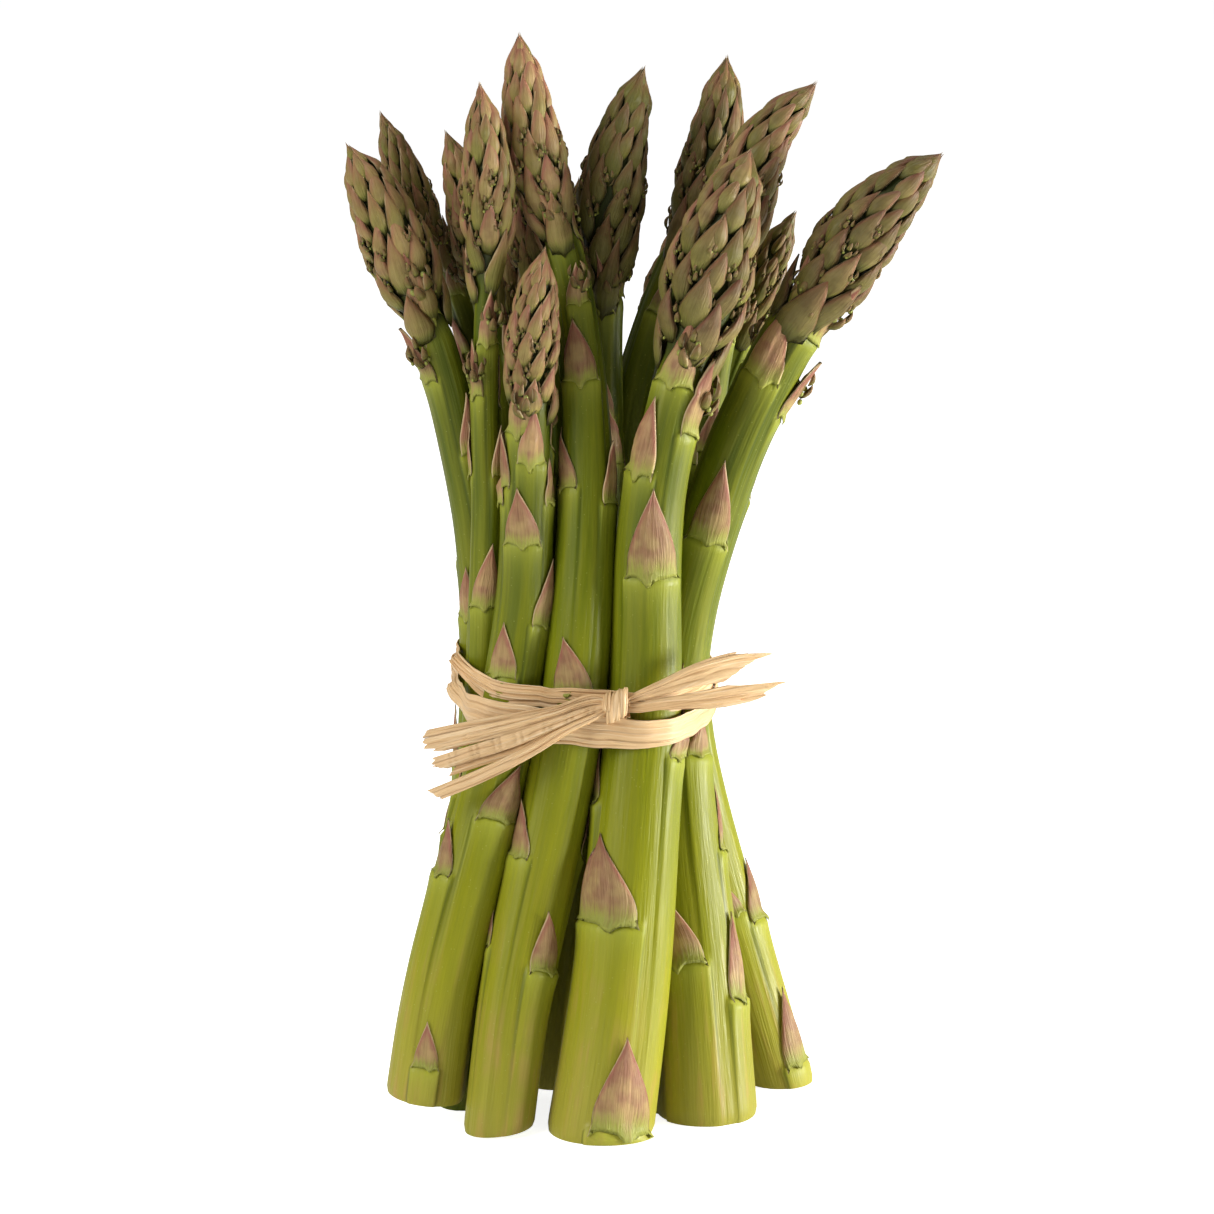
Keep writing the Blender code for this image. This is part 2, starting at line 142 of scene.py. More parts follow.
# %% [markdown]
# ## Putting a surface into a mesh
#
# Each helper below returns a patch: its points in millimetres, its faces, and two notes for every point
# that the materials read later. "look" holds where the point is on its leaf or stem, from base to tip,
# how near an edge, and a shade: the point's own tone, with painted shade added on the spears inside the
# bundle and on the heads at the right and in the middle. "grain" holds the point's place in the plant's
# own grain, so that fine lines follow the growth and don't slide when the bundle is turned.


# %% Helpers for patches
WELD = 0.0001  # points nearer than this, in millimetres, are one


def smooth_step(low, high, value):
    """Nought below low, one above high, and an S-shaped rise between them."""
    share = np.clip((value - low) / (high - low), 0.0, 1.0)
    return share * share * (3.0 - 2.0 * share)


def grid_quads(rows, columns, closed=False, ring=False):
    """Faces between neighbours. Closed joins the last column to the first, and ring joins the rows."""
    index = np.arange(rows * columns).reshape(rows, columns)
    if closed:
        index = np.concatenate([index, index[:, :1]], axis=1)
    if ring:
        index = np.concatenate([index, index[:1]], axis=0)
    corners = [index[:-1, :-1], index[:-1, 1:], index[1:, 1:], index[1:, :-1]]
    return np.stack([corner.ravel() for corner in corners], axis=1)


def leaf_quads(rows, columns):
    """Faces of a thin closed leaf, whose front and back grids share their rim, and its number of points."""
    front = np.arange(rows * columns).reshape(rows, columns)
    back = front.copy()
    inside = (rows - 2) * (columns - 2)
    back[1:-1, 1:-1] = rows * columns + np.arange(inside).reshape(rows - 2, columns - 2)
    quads = grid_quads(rows, columns)
    return np.concatenate([quads, back.ravel()[quads][:, ::-1]]), rows * columns + inside


def patch(points, quads, look, grain, finish):
    """One piece of surface, with flat lists of points and notes.

    Points that share a place, as at a pole, become one point, and a face that loses a corner by that
    becomes a triangle.
    """
    points = np.asarray(points, float).reshape(-1, 3)
    quads = np.asarray(quads, int).reshape(-1, 4)
    _, kept, same = np.unique(np.round(points / WELD), axis=0, return_index=True, return_inverse=True)
    quads = same.reshape(-1)[quads]
    differs = quads != np.roll(quads, -1, axis=1)
    lost_one = differs.sum(axis=1) == 3
    return {
        "points": points[kept],
        "quads": quads[differs.all(axis=1)],
        "triangles": quads[lost_one][differs[lost_one]].reshape(-1, 3),
        "look": np.asarray(look, float).reshape(-1, 4)[kept],
        "grain": np.asarray(grain, float).reshape(-1, 3)[kept],
        "finish": finish,
    }


def joined(patches, finishes):
    """All patches in one set of arrays, each patch's faces pointing at its own points."""
    starts = np.cumsum([0] + [len(one["points"]) for one in patches])
    quads = np.concatenate([one["quads"] + start for one, start in zip(patches, starts)])
    triangles = np.concatenate([one["triangles"] + start for one, start in zip(patches, starts)])
    painted = [finishes.index(one["finish"]) for one in patches]
    slots = np.concatenate(
        [np.repeat(painted, [len(one["quads"]) for one in patches])]
        + [np.repeat(painted, [len(one["triangles"]) for one in patches])]
    )
    points, look, grain = (
        np.concatenate([one[key] for one in patches]) for key in ("points", "look", "grain")
    )
    return points, quads, triangles, look, grain, slots


def make_piece(name, patches, finishes, nodes):
    """A mesh object from patches: it rides with the bundle, and stands for these nodes of the model."""
    points, quads, triangles, look, grain, slots = joined(patches, finishes)
    points[:, 2] = np.maximum(points[:, 2], 0.0)  # nothing reaches below the table
    mesh = bpy.data.meshes.new(name)
    mesh.vertices.add(len(points))
    mesh.vertices.foreach_set("co", (points * MM).astype(np.float32).ravel())
    corners = np.concatenate([quads.ravel(), triangles.ravel()]).astype(np.int32)
    starts = np.concatenate(
        [np.arange(len(quads)) * 4, 4 * len(quads) + np.arange(len(triangles)) * 3]
    ).astype(np.int32)
    mesh.loops.add(len(corners))
    mesh.loops.foreach_set("vertex_index", corners)
    mesh.polygons.add(len(starts))
    mesh.polygons.foreach_set("loop_start", starts)
    mesh.polygons.foreach_set("material_index", slots.astype(np.int32))
    mesh.update(calc_edges=True)
    mesh.attributes.new("look", "FLOAT_COLOR", "POINT").data.foreach_set(
        "color", look.astype(np.float32).ravel()
    )
    mesh.attributes.new("grain", "FLOAT_VECTOR", "POINT").data.foreach_set(
        "vector", grain.astype(np.float32).ravel()
    )
    mesh.shade_smooth()
    for finish in finishes:
        mesh.materials.append(bpy.data.materials[finish])
    piece = bpy.data.objects.new(name, mesh)
    bpy.context.scene.collection.objects.link(piece)
    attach(piece, "root")
    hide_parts(*nodes)
    print(name, "faces:", len(starts), "triangles:", 2 * len(quads) + len(triangles))
    return piece


# %% [markdown]
# ## Finishes
#
# The skin, the scales, the buds and the raffia all have fine lines that run with their growth, so the
# lines are one shader group that each material uses at its own scale. The same goes for soft blotches
# and for small specks. The groups give out plain values, and each material turns them into colour,
# roughness and height for its own shader.


# %% Helpers for shader trees
def add_node(tree, kind, inputs=None, **settings):
    """A shader node with its settings. Each input is a plain value, or the output that feeds it."""
    made = tree.nodes.new(kind)
    for key, value in settings.items():
        setattr(made, key, value)
    for key, value in (inputs or {}).items():
        if isinstance(value, bpy.types.NodeSocket):
            tree.links.new(value, made.inputs[key])
        else:
            made.inputs[key].default_value = value
    return made


def maths(tree, operation, first, second=0.0, clamp=False):
    """One sum on two values."""
    node = add_node(
        tree, "ShaderNodeMath", {0: first, 1: second}, operation=operation, use_clamp=clamp
    )
    return node.outputs[0]


def spread(tree, value, low, high, new_low=0.0, new_high=1.0):
    """A value carried from one range to another with soft ends."""
    inputs = {"Value": value, "From Min": low, "From Max": high, "To Min": new_low, "To Max": new_high}
    return add_node(tree, "ShaderNodeMapRange", inputs, interpolation_type="SMOOTHSTEP").outputs[0]


def mixed(tree, share, first, second, blend="MIX"):
    """Two colours mixed by a share."""
    node = add_node(
        tree, "ShaderNodeMix", {0: share, 6: first, 7: second}, data_type="RGBA", blend_type=blend
    )
    return node.outputs[2]


def paint(red, green, blue):
    """A colour given as it looks on a screen, from 0 to 255, turned into the light values shaders use."""
    values = np.array([red, green, blue]) / 255.0
    linear = np.where(values <= 0.04045, values / 12.92, ((values + 0.055) / 1.055) ** 2.4)
    return (*[float(value) for value in linear], 1.0)


def new_group(name, inputs, output):
    """An empty shader group with named inputs and one value out, and the nodes at its two ends."""
    tree = bpy.data.node_groups.new(name, "ShaderNodeTree")
    for socket, kind, value in inputs:
        made = tree.interface.new_socket(socket, in_out="INPUT", socket_type=kind)
        if value is not None:
            made.default_value = value
    tree.interface.new_socket(output, in_out="OUTPUT", socket_type="NodeSocketFloat")
    return tree, tree.nodes.new("NodeGroupInput").outputs, tree.nodes.new("NodeGroupOutput").inputs


def use_group(tree, name, inputs):
    """A shader group placed in a material, with its own values."""
    node = tree.nodes.new("ShaderNodeGroup")
    node.node_tree = bpy.data.node_groups[name]
    for key, value in inputs.items():
        if isinstance(value, bpy.types.NodeSocket):
            tree.links.new(value, node.inputs[key])
        else:
            node.inputs[key].default_value = value
    return node.outputs[0]


# %% Group: lines that run with the growth
VECTOR = "NodeSocketVector"
FLOAT = "NodeSocketFloat"
tree, given, out = new_group(
    "growth lines",
    [("Grain", VECTOR, None), ("Lines per mm", FLOAT, 1.5), ("Stretch", FLOAT, 0.05)],
    "Lines",
)
along_scale = maths(tree, "MULTIPLY", given["Lines per mm"], given["Stretch"])
stretch = add_node(
    tree, "ShaderNodeCombineXYZ", {0: given["Lines per mm"], 1: given["Lines per mm"], 2: along_scale}
)
drawn_out = add_node(
    tree, "ShaderNodeVectorMath", {0: given["Grain"], 1: stretch.outputs[0]}, operation="MULTIPLY"
)
strands = add_node(
    tree, "ShaderNodeTexNoise",
    {"Vector": drawn_out.outputs[0], "Scale": 1.0, "Detail": 3.0, "Roughness": 0.6},
)
tree.links.new(spread(tree, strands.outputs["Fac"], 0.3, 0.7), out["Lines"])
print("group:", tree.name)

# %% Group: soft blotches
tree, given, out = new_group(
    "blotches", [("Grain", VECTOR, None), ("Size in mm", FLOAT, 5.0)], "Blotch"
)
fine = maths(tree, "DIVIDE", 1.0, given["Size in mm"])
cloud = add_node(
    tree, "ShaderNodeTexNoise", {"Vector": given["Grain"], "Scale": fine, "Detail": 2.0, "Roughness": 0.5}
)
tree.links.new(spread(tree, cloud.outputs["Fac"], 0.3, 0.7), out["Blotch"])
print("group:", tree.name)

# %% Group: small specks
tree, given, out = new_group(
    "specks", [("Grain", VECTOR, None), ("Spacing in mm", FLOAT, 1.0), ("Size", FLOAT, 0.2)], "Speck"
)
fine = maths(tree, "DIVIDE", 1.0, given["Spacing in mm"])
cells = add_node(tree, "ShaderNodeTexVoronoi", {"Vector": given["Grain"], "Scale": fine, "Randomness": 1.0})
edge = maths(tree, "MULTIPLY", given["Size"], 1.6)
ring = add_node(
    tree, "ShaderNodeMapRange",
    {"Value": cells.outputs["Distance"], "From Min": edge, "From Max": given["Size"]},
)
tree.links.new(ring.outputs[0], out["Speck"])
print("group:", tree.name)


# %% Helper: start a material
def new_finish(name, roughness, specular=0.5):
    """A material with its shader, the two notes that every point carries, and places to join them."""
    finish = bpy.data.materials.new(name)
    finish.use_nodes = True
    tree = finish.node_tree
    shader = tree.nodes["Principled BSDF"]
    shader.inputs["Roughness"].default_value = roughness
    shader.inputs["Specular IOR Level"].default_value = specular
    look = add_node(tree, "ShaderNodeAttribute", attribute_name="look")
    parts = add_node(tree, "ShaderNodeSeparateColor", {0: look.outputs["Color"]})
    grain = add_node(tree, "ShaderNodeAttribute", attribute_name="grain")
    notes = {
        "along": parts.outputs[0], "across": parts.outputs[1], "shade": parts.outputs[2],
        "extra": look.outputs["Alpha"], "grain": grain.outputs["Vector"],
    }
    print("material:", name)
    return tree, shader, notes


def raise_surface(tree, shader, height, depth_mm):
    """Small relief: the height, from 0 to 1, stands up to a depth in millimetres."""
    bump = add_node(tree, "ShaderNodeBump", {"Height": height, "Strength": 1.0, "Distance": depth_mm * MM})
    tree.links.new(bump.outputs[0], shader.inputs["Normal"])


# %% [markdown]
# ### The skin of the stems
#
# A stem is palest at its foot, where it stood in the shade of the soil, and darkest under the head. Its
# skin is waxy and satin, with fine lines along it, broader pale streaks, pinkish-tan patches near the
# foot and a pale yellow swelling just below each scale. Painted shade darkens its grooves, the skin
# inside the head, and all of the skin of the spears inside the bundle. A little light goes into the
# flesh and out again.

# %% Material: asparagus skin
tree, shader, notes = new_finish("asparagus skin", 0.42, 0.22)
ramp = add_node(tree, "ShaderNodeValToRGB", {0: notes["along"]})
stops = ramp.color_ramp.elements
stops[0].position, stops[0].color = 0.0, paint(174, 164, 62)
stops[1].position, stops[1].color = 1.0, paint(62, 74, 4)
for place, colour in ((0.18, paint(154, 152, 26)), (0.5, paint(120, 126, 6)), (0.78, paint(88, 98, 4))):
    stop = stops.new(place)
    stop.color = colour
lines = use_group(tree, "growth lines", {"Grain": notes["grain"], "Lines per mm": 2.2, "Stretch": 0.03})
streaks = use_group(tree, "growth lines", {"Grain": notes["grain"], "Lines per mm": 0.45, "Stretch": 0.06})
blotch = use_group(tree, "blotches", {"Grain": notes["grain"], "Size in mm": 9.0})
pale_specks = use_group(tree, "specks", {"Grain": notes["grain"], "Spacing in mm": 1.3, "Size": 0.07})
# The skin's shade note: its own tone, and on the inner spears painted shade.
tone_and_inner_shade = mixed(tree, notes["shade"], ramp.outputs[0], paint(82, 96, 8))
softened = mixed(tree, maths(tree, "MULTIPLY", streaks, 0.22), tone_and_inner_shade, paint(176, 170, 40))
darkened = mixed(tree, maths(tree, "MULTIPLY", lines, 0.12), softened, paint(64, 80, 6))
foot = spread(tree, notes["along"], 0.34, 0.04)
tanned = maths(tree, "MULTIPLY", foot, maths(tree, "MULTIPLY", spread(tree, streaks, 0.35, 1.0), blotch))
with_tan = mixed(tree, maths(tree, "MULTIPLY", tanned, 0.45), darkened, paint(178, 136, 84))
# Painted shade: the skin is darkened in the grooves at the edges of the bands.
shaded_in_grooves = mixed(tree, spread(tree, notes["across"], 0.6, 0.0, 0.0, 0.65), with_tan, paint(52, 68, 8))
banded = mixed(tree, maths(tree, "MULTIPLY", notes["extra"], 0.7), shaded_in_grooves, paint(168, 172, 60))
speckled = mixed(tree, maths(tree, "MULTIPLY", pale_specks, 0.25), banded, paint(196, 196, 110))
# Painted shade: past the neck, inside the head under its scales, the skin is painted dark olive.
shade_under_scales = mixed(tree, spread(tree, notes["along"], 1.0, 1.04), speckled, paint(58, 64, 26))
tree.links.new(shade_under_scales, shader.inputs["Base Color"])
tree.links.new(spread(tree, lines, 0.0, 1.0, 0.36, 0.52), shader.inputs["Roughness"])
shader.inputs["Subsurface Weight"].default_value = 0.12
shader.inputs["Subsurface Radius"].default_value = (0.8, 1.0, 0.25)
shader.inputs["Subsurface Scale"].default_value = 0.001
raise_surface(tree, shader, maths(tree, "ADD", maths(tree, "MULTIPLY", lines, 0.4), streaks), 0.08)

# %% [markdown]
# ### The scales
#
# A scale is a thin papery leaf. It is yellow-green where it grows out of the stem, mauve-brown above
# that, with fine lines that run from base to tip, a thin pale edge, and an orange or rose point. In the
# heads the scales are greener, and pink along their edges. Painted shade darkens the feet of the head
# scales, where others lie over them, and the heads at the right and in the middle of the bundle, over
# each scale's own tone.

# %% Material: scale
tree, shader, notes = new_finish("asparagus scale", 0.5, 0.25)
lines = use_group(tree, "growth lines", {"Grain": notes["grain"], "Lines per mm": 2.6, "Stretch": 0.07})
blotch = use_group(tree, "blotches", {"Grain": notes["grain"], "Size in mm": 3.0})
wobble = maths(tree, "ADD", notes["along"], spread(tree, lines, 0.0, 1.0, -0.04, 0.04))
middle = mixed(tree, notes["shade"], paint(170, 126, 94), paint(112, 98, 48))
striped = mixed(tree, maths(tree, "MULTIPLY", lines, 0.5), middle, paint(100, 74, 42))
lighter = mixed(tree, maths(tree, "MULTIPLY", blotch, 0.45), striped, paint(196, 174, 108))
greener = mixed(tree, maths(tree, "MULTIPLY", notes["extra"], 0.8), lighter, paint(114, 116, 42))
based = mixed(tree, spread(tree, wobble, 0.3, 0.02), greener, paint(154, 156, 66))
reddened = mixed(tree, spread(tree, wobble, 0.35, 0.8, 0.0, 0.36), based, paint(152, 94, 78))
tipped = mixed(tree, spread(tree, wobble, 0.84, 1.0, 0.0, 0.75), reddened, paint(176, 116, 58))
past_base = spread(tree, notes["along"], 0.12, 0.5)
rosy = maths(tree, "MULTIPLY", spread(tree, notes["across"], 0.6, 0.05), past_base)
pinker = maths(tree, "MULTIPLY", rosy, spread(tree, notes["extra"], 0.9, 0.1, 0.3, 0.75))
edged = mixed(tree, pinker, tipped, paint(156, 92, 78))
rimmed = mixed(tree, spread(tree, notes["across"], 0.14, 0.02, 0.0, 0.8), edged, paint(204, 182, 136))
crowded = maths(tree, "MULTIPLY", notes["extra"], 4.0, clamp=True)
# Painted shade: the feet of the head and bud scales, where the scales above lie over them, are painted
# dark.
shade_under_scales = maths(tree, "MULTIPLY", crowded, spread(tree, notes["along"], 0.26, 0.04, 0.0, 0.8))
shaded = mixed(tree, shade_under_scales, rimmed, paint(52, 50, 16))
# The shade note darkens whole scales: partly their own tone, and on the heads at the right and in the
# middle painted shade.
dimmed_by_tone_and_shade = mixed(tree, maths(tree, "MULTIPLY", notes["shade"], 0.5), shaded, paint(54, 44, 20))
tree.links.new(dimmed_by_tone_and_shade, shader.inputs["Base Color"])
tree.links.new(spread(tree, lines, 0.0, 1.0, 0.42, 0.6), shader.inputs["Roughness"])
raise_surface(tree, shader, lines, 0.1)

# %% [markdown]
# ### The buds
#
# The florets in a bud are fresh yellow-green beads, greyer at the tip and greener at the foot, with a few
# dark flecks where they have dried.

# %% Material: buds
tree, shader, notes = new_finish("asparagus bud", 0.5)
fresh = mixed(tree, notes["shade"], paint(164, 168, 72), paint(112, 118, 42))
pointed = mixed(tree, spread(tree, notes["along"], 0.55, 1.0), fresh, paint(84, 88, 40))
rooted = mixed(tree, spread(tree, notes["along"], 0.35, 0.0), pointed, paint(110, 128, 46))
specks = use_group(tree, "specks", {"Grain": notes["grain"], "Spacing in mm": 0.5, "Size": 0.12})
flecked = mixed(tree, maths(tree, "MULTIPLY", specks, 0.4), rooted, paint(70, 66, 34))
tree.links.new(flecked, shader.inputs["Base Color"])

# %% [markdown]
# ### The cut ends
#
# A cut stem is pale, moist flesh, with a ring of green skin round it and many small fibres that show as
# darker dots, thicker towards the skin.

# %% Material: cut end
tree, shader, notes = new_finish("asparagus cut end", 0.35)
fibres = use_group(tree, "specks", {"Grain": notes["grain"], "Spacing in mm": 1.1, "Size": 0.22})
flesh = mixed(tree, use_group(tree, "blotches", {"Grain": notes["grain"], "Size in mm": 3.0}),
              paint(214, 216, 160), paint(190, 196, 128))
dotted = mixed(tree, maths(tree, "MULTIPLY", fibres, 0.5), flesh, paint(140, 138, 84))
skinned = mixed(tree, spread(tree, notes["along"], 0.86, 1.0), dotted, paint(150, 164, 70))
tree.links.new(skinned, shader.inputs["Base Color"])
raise_surface(tree, shader, fibres, 0.1)

# %% [markdown]
# ### Raffia
#
# Raffia is the dried skin of a palm leaf, torn into strips. It is straw-coloured and a little glossy,
# with long ridges, painted darker in its creases as shade, and painted almost white as a highlight where
# the light catches a fibre.

# %% Material: raffia
tree, shader, notes = new_finish("raffia palm", 0.48)
fibres = use_group(tree, "growth lines", {"Grain": notes["grain"], "Lines per mm": 2.4, "Stretch": 0.03})
ridges = use_group(tree, "growth lines", {"Grain": notes["grain"], "Lines per mm": 0.7, "Stretch": 0.02})
blotch = use_group(tree, "blotches", {"Grain": notes["grain"], "Size in mm": 6.0})
straw = mixed(tree, notes["shade"], paint(238, 203, 152), paint(218, 176, 122))
shaded = mixed(tree, maths(tree, "MULTIPLY", ridges, 0.35), straw, paint(196, 152, 100))
aged = mixed(tree, maths(tree, "MULTIPLY", blotch, 0.25), shaded, paint(206, 164, 112))
# Painted highlight: some fibres are painted almost white, as where the light catches them.
painted_fibre_highlights = mixed(tree, spread(tree, fibres, 0.55, 0.95, 0.0, 0.4), aged, paint(244, 222, 184))
# Painted shade: the strip is darkened in the creases of its folds.
shaded_in_creases = mixed(tree, spread(tree, notes["across"], 0.4, 0.0, 0.0, 0.6), painted_fibre_highlights, paint(160, 112, 66))
tree.links.new(shaded_in_creases, shader.inputs["Base Color"])
tree.links.new(spread(tree, fibres, 0.0, 1.0, 0.38, 0.58), shader.inputs["Roughness"])
raise_surface(tree, shader, maths(tree, "ADD", fibres, ridges), 0.12)

# %% [markdown]
# ## The middle line of each spear
#
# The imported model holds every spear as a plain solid. Cutting that solid with level planes gives, at
# each height, a closed outline: its centre is a point of the spear's middle line, and its area gives the
# radius there. The line is then walked at even steps along its own length, and at each step it carries
# three directions: along the stem, to the right, and back.

# %% Measure the plain solids
LINE_STEP = 0.5  # the distance between the line's points, in millimetres
LEVELS = 140  # how many planes cut each spear
SIDES_AREA = 2.939  # the area of a ten-sided outline over the square of its radius
CUT_REACH = 12.0  # the cut lies below this height, in millimetres
CUT_FACING = -0.95  # and its faces point down at least this squarely
HEAD_REACH = 36.0  # the head is widest within this distance of the tip, in millimetres
HEAD_SHARE = 0.55  # and the neck below it lies above this share of the spear


def triangles_of(node):
    """The corners of a node's triangles, in millimetres, as an array of shape (triangles, 3, 3)."""
    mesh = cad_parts[node].data
    mesh.calc_loop_triangles()
    points = np.empty(len(mesh.vertices) * 3, np.float32)
    mesh.vertices.foreach_get("co", points)
    index = np.empty(len(mesh.loop_triangles) * 3, np.int32)
    mesh.loop_triangles.foreach_get("vertices", index)
    return points.reshape(-1, 3)[index.reshape(-1, 3)].astype(float) / MM


def level_cuts(corners, levels):
    """The centre and the area of the outline that each level plane cuts out of a closed solid.

    A triangle is crossed by a plane along one short line. The centre is the mean of the middles of
    those lines, weighted by their lengths, and the area is the sum of the triangles they make with it.
    """
    ends = np.roll(corners, -1, axis=1)
    low = corners[None, :, :, 2] - levels[:, None, None]
    high = ends[None, :, :, 2] - levels[:, None, None]
    crossed = (low * high) < 0
    share = np.where(crossed, low / np.where(crossed, low - high, 1.0), 0.0)
    met = corners[None] + (ends - corners)[None] * share[..., None]
    met = met * crossed[..., None]
    full = crossed.sum(axis=2) == 2
    both = met.sum(axis=2)
    first = np.take_along_axis(met, np.argmax(crossed, axis=2)[..., None, None], axis=2)[:, :, 0]
    second = both - first
    length = np.linalg.norm(second - first, axis=2) * full
    centre = (0.5 * both * length[..., None]).sum(axis=1) / length.sum(axis=1)[:, None]
    swept = np.cross(first - centre[:, None], second - centre[:, None])
    area = 0.5 * (np.linalg.norm(swept, axis=2) * full).sum(axis=1)
    return centre, area


def eased(values, width):
    """Values evened out along their first axis with a bell-shaped weight, ends carried straight on."""
    reach = int(3 * width)
    step = np.arange(1, reach + 1).reshape(-1, *[1] * (values.ndim - 1))
    before = values[0] + (values[0] - values[1]) * step[::-1]
    after = values[-1] + (values[-1] - values[-2]) * step
    longer = np.concatenate([before, values, after])
    weight = np.exp(-0.5 * (np.arange(-reach, reach + 1) / width) ** 2)
    weight /= weight.sum()
    flat = longer.reshape(len(longer), -1)
    out = np.stack([np.convolve(column, weight, mode="valid") for column in flat.T], axis=1)
    return out.reshape(values.shape)


def spear_line(node):
    """A spear's middle line, radius and directions at even steps, and the plane that its foot is cut on."""
    corners = triangles_of(node)
    normals = np.cross(corners[:, 1] - corners[:, 0], corners[:, 2] - corners[:, 0])
    size = np.linalg.norm(normals, axis=1) + 1e-9
    low = corners[:, :, 2].mean(axis=1) < CUT_REACH
    facing_down = (normals[:, 2] / size < CUT_FACING) & low
    cut = normals[facing_down].sum(axis=0)
    cut /= np.linalg.norm(cut)
    foot = corners[facing_down].reshape(-1, 3).mean(axis=0)
    top = corners[..., 2].max()
    tip = corners.reshape(-1, 3)[corners[..., 2].ravel() > top - 0.4].mean(axis=0)
    levels = np.linspace(foot[2] + 1.2, top - 0.7, LEVELS)
    centre, area = level_cuts(corners, levels)
    centre = eased(centre, 3.0)
    slope = np.gradient(centre[:, :2], levels, axis=0)
    lean = 1.0 / np.sqrt(1.0 + (slope**2).sum(axis=1))
    radius = eased(np.sqrt(area * lean / SIDES_AREA), 1.5)
    base = centre[0] + (centre[1] - centre[0]) * (foot[2] - levels[0]) / (levels[1] - levels[0])
    line = np.concatenate([base[None], centre, tip[None]])
    radii = np.concatenate([radius[:1], radius, [0.05]])
    run = np.concatenate([[0.0], np.cumsum(np.linalg.norm(np.diff(line, axis=0), axis=1))])
    steps = np.arange(0.0, run[-1], LINE_STEP)
    line = np.stack([np.interp(steps, run, line[:, axis]) for axis in range(3)], axis=1)
    radii = np.interp(steps, run, radii)
    line = eased(line, 4.0)
    ahead = np.gradient(line, axis=0)
    ahead /= np.linalg.norm(ahead, axis=1)[:, None]
    right = np.array([1.0, 0.0, 0.0]) - ahead * ahead[:, :1]
    right /= np.linalg.norm(right, axis=1)[:, None]
    back = np.cross(ahead, right)
    upper = steps > HEAD_SHARE * steps[-1]
    widest = int(np.argmax(np.where(steps > steps[-1] - HEAD_REACH, radii, 0.0)))
    neck = int(np.argmin(np.where(upper & (np.arange(len(steps)) < widest), radii, 99.0)))
    return {"line": line, "radius": radii, "ahead": ahead, "right": right, "back": back,
            "length": steps[-1], "neck": steps[neck], "foot": foot, "cut": cut,
            "head_radius": radii[widest]}


spear_names = sorted(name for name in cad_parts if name.startswith("spear_"))
spears = {name: spear_line(name) for name in spear_names}
for name, spear in spears.items():
    print(name, "length", round(spear["length"]), "neck at", round(spear["neck"]),
          "head radius", round(spear["head_radius"], 1))


# %% Points round a middle line
def at_run(spear, run, key):
    """A value of the middle line at any run along it, between its even steps."""
    place = np.clip(run / LINE_STEP, 0.0, len(spear["line"]) - 1.001)
    low = place.astype(int)
    share = place - low
    values = spear[key]
    if values.ndim == 2:
        share = share[..., None]
    return values[low] * (1.0 - share) + values[low + 1] * share


def round_spear(spear, run, turn, out):
    """The point at a run along the stem, a turn round it in radians and a distance from its middle line.

    Turn is measured from the right towards the back, so that the front of a spear is at minus 90 degrees.
    """
    beyond = (run - np.clip(run, 0.0, spear["length"]))[..., None]
    ahead = at_run(spear, run, "ahead")
    sideways = np.cos(turn)[..., None] * at_run(spear, run, "right")
    sideways = sideways + np.sin(turn)[..., None] * at_run(spear, run, "back")
    return at_run(spear, run, "line") + ahead * beyond + sideways * out[..., None]


def wrapped(angle):
    """An angle brought between minus half a turn and half a turn."""
    return (angle + np.pi) % (2 * np.pi) - np.pi


# %% [markdown]
# ## Where the scales grow
#
# Up the stem the scales come one by one, each about three eighths of a turn on from the last, and closer
# together towards the head. The front spears have theirs where they show, one row each: the run along
# the stem in millimetres from the cut, the turn in degrees, half the width of the base, the length, how
# far the point stands off the stem, how many degrees the point drifts round it, and whether a bud sits
# behind it: 1 for a small one and 2 for a large one.

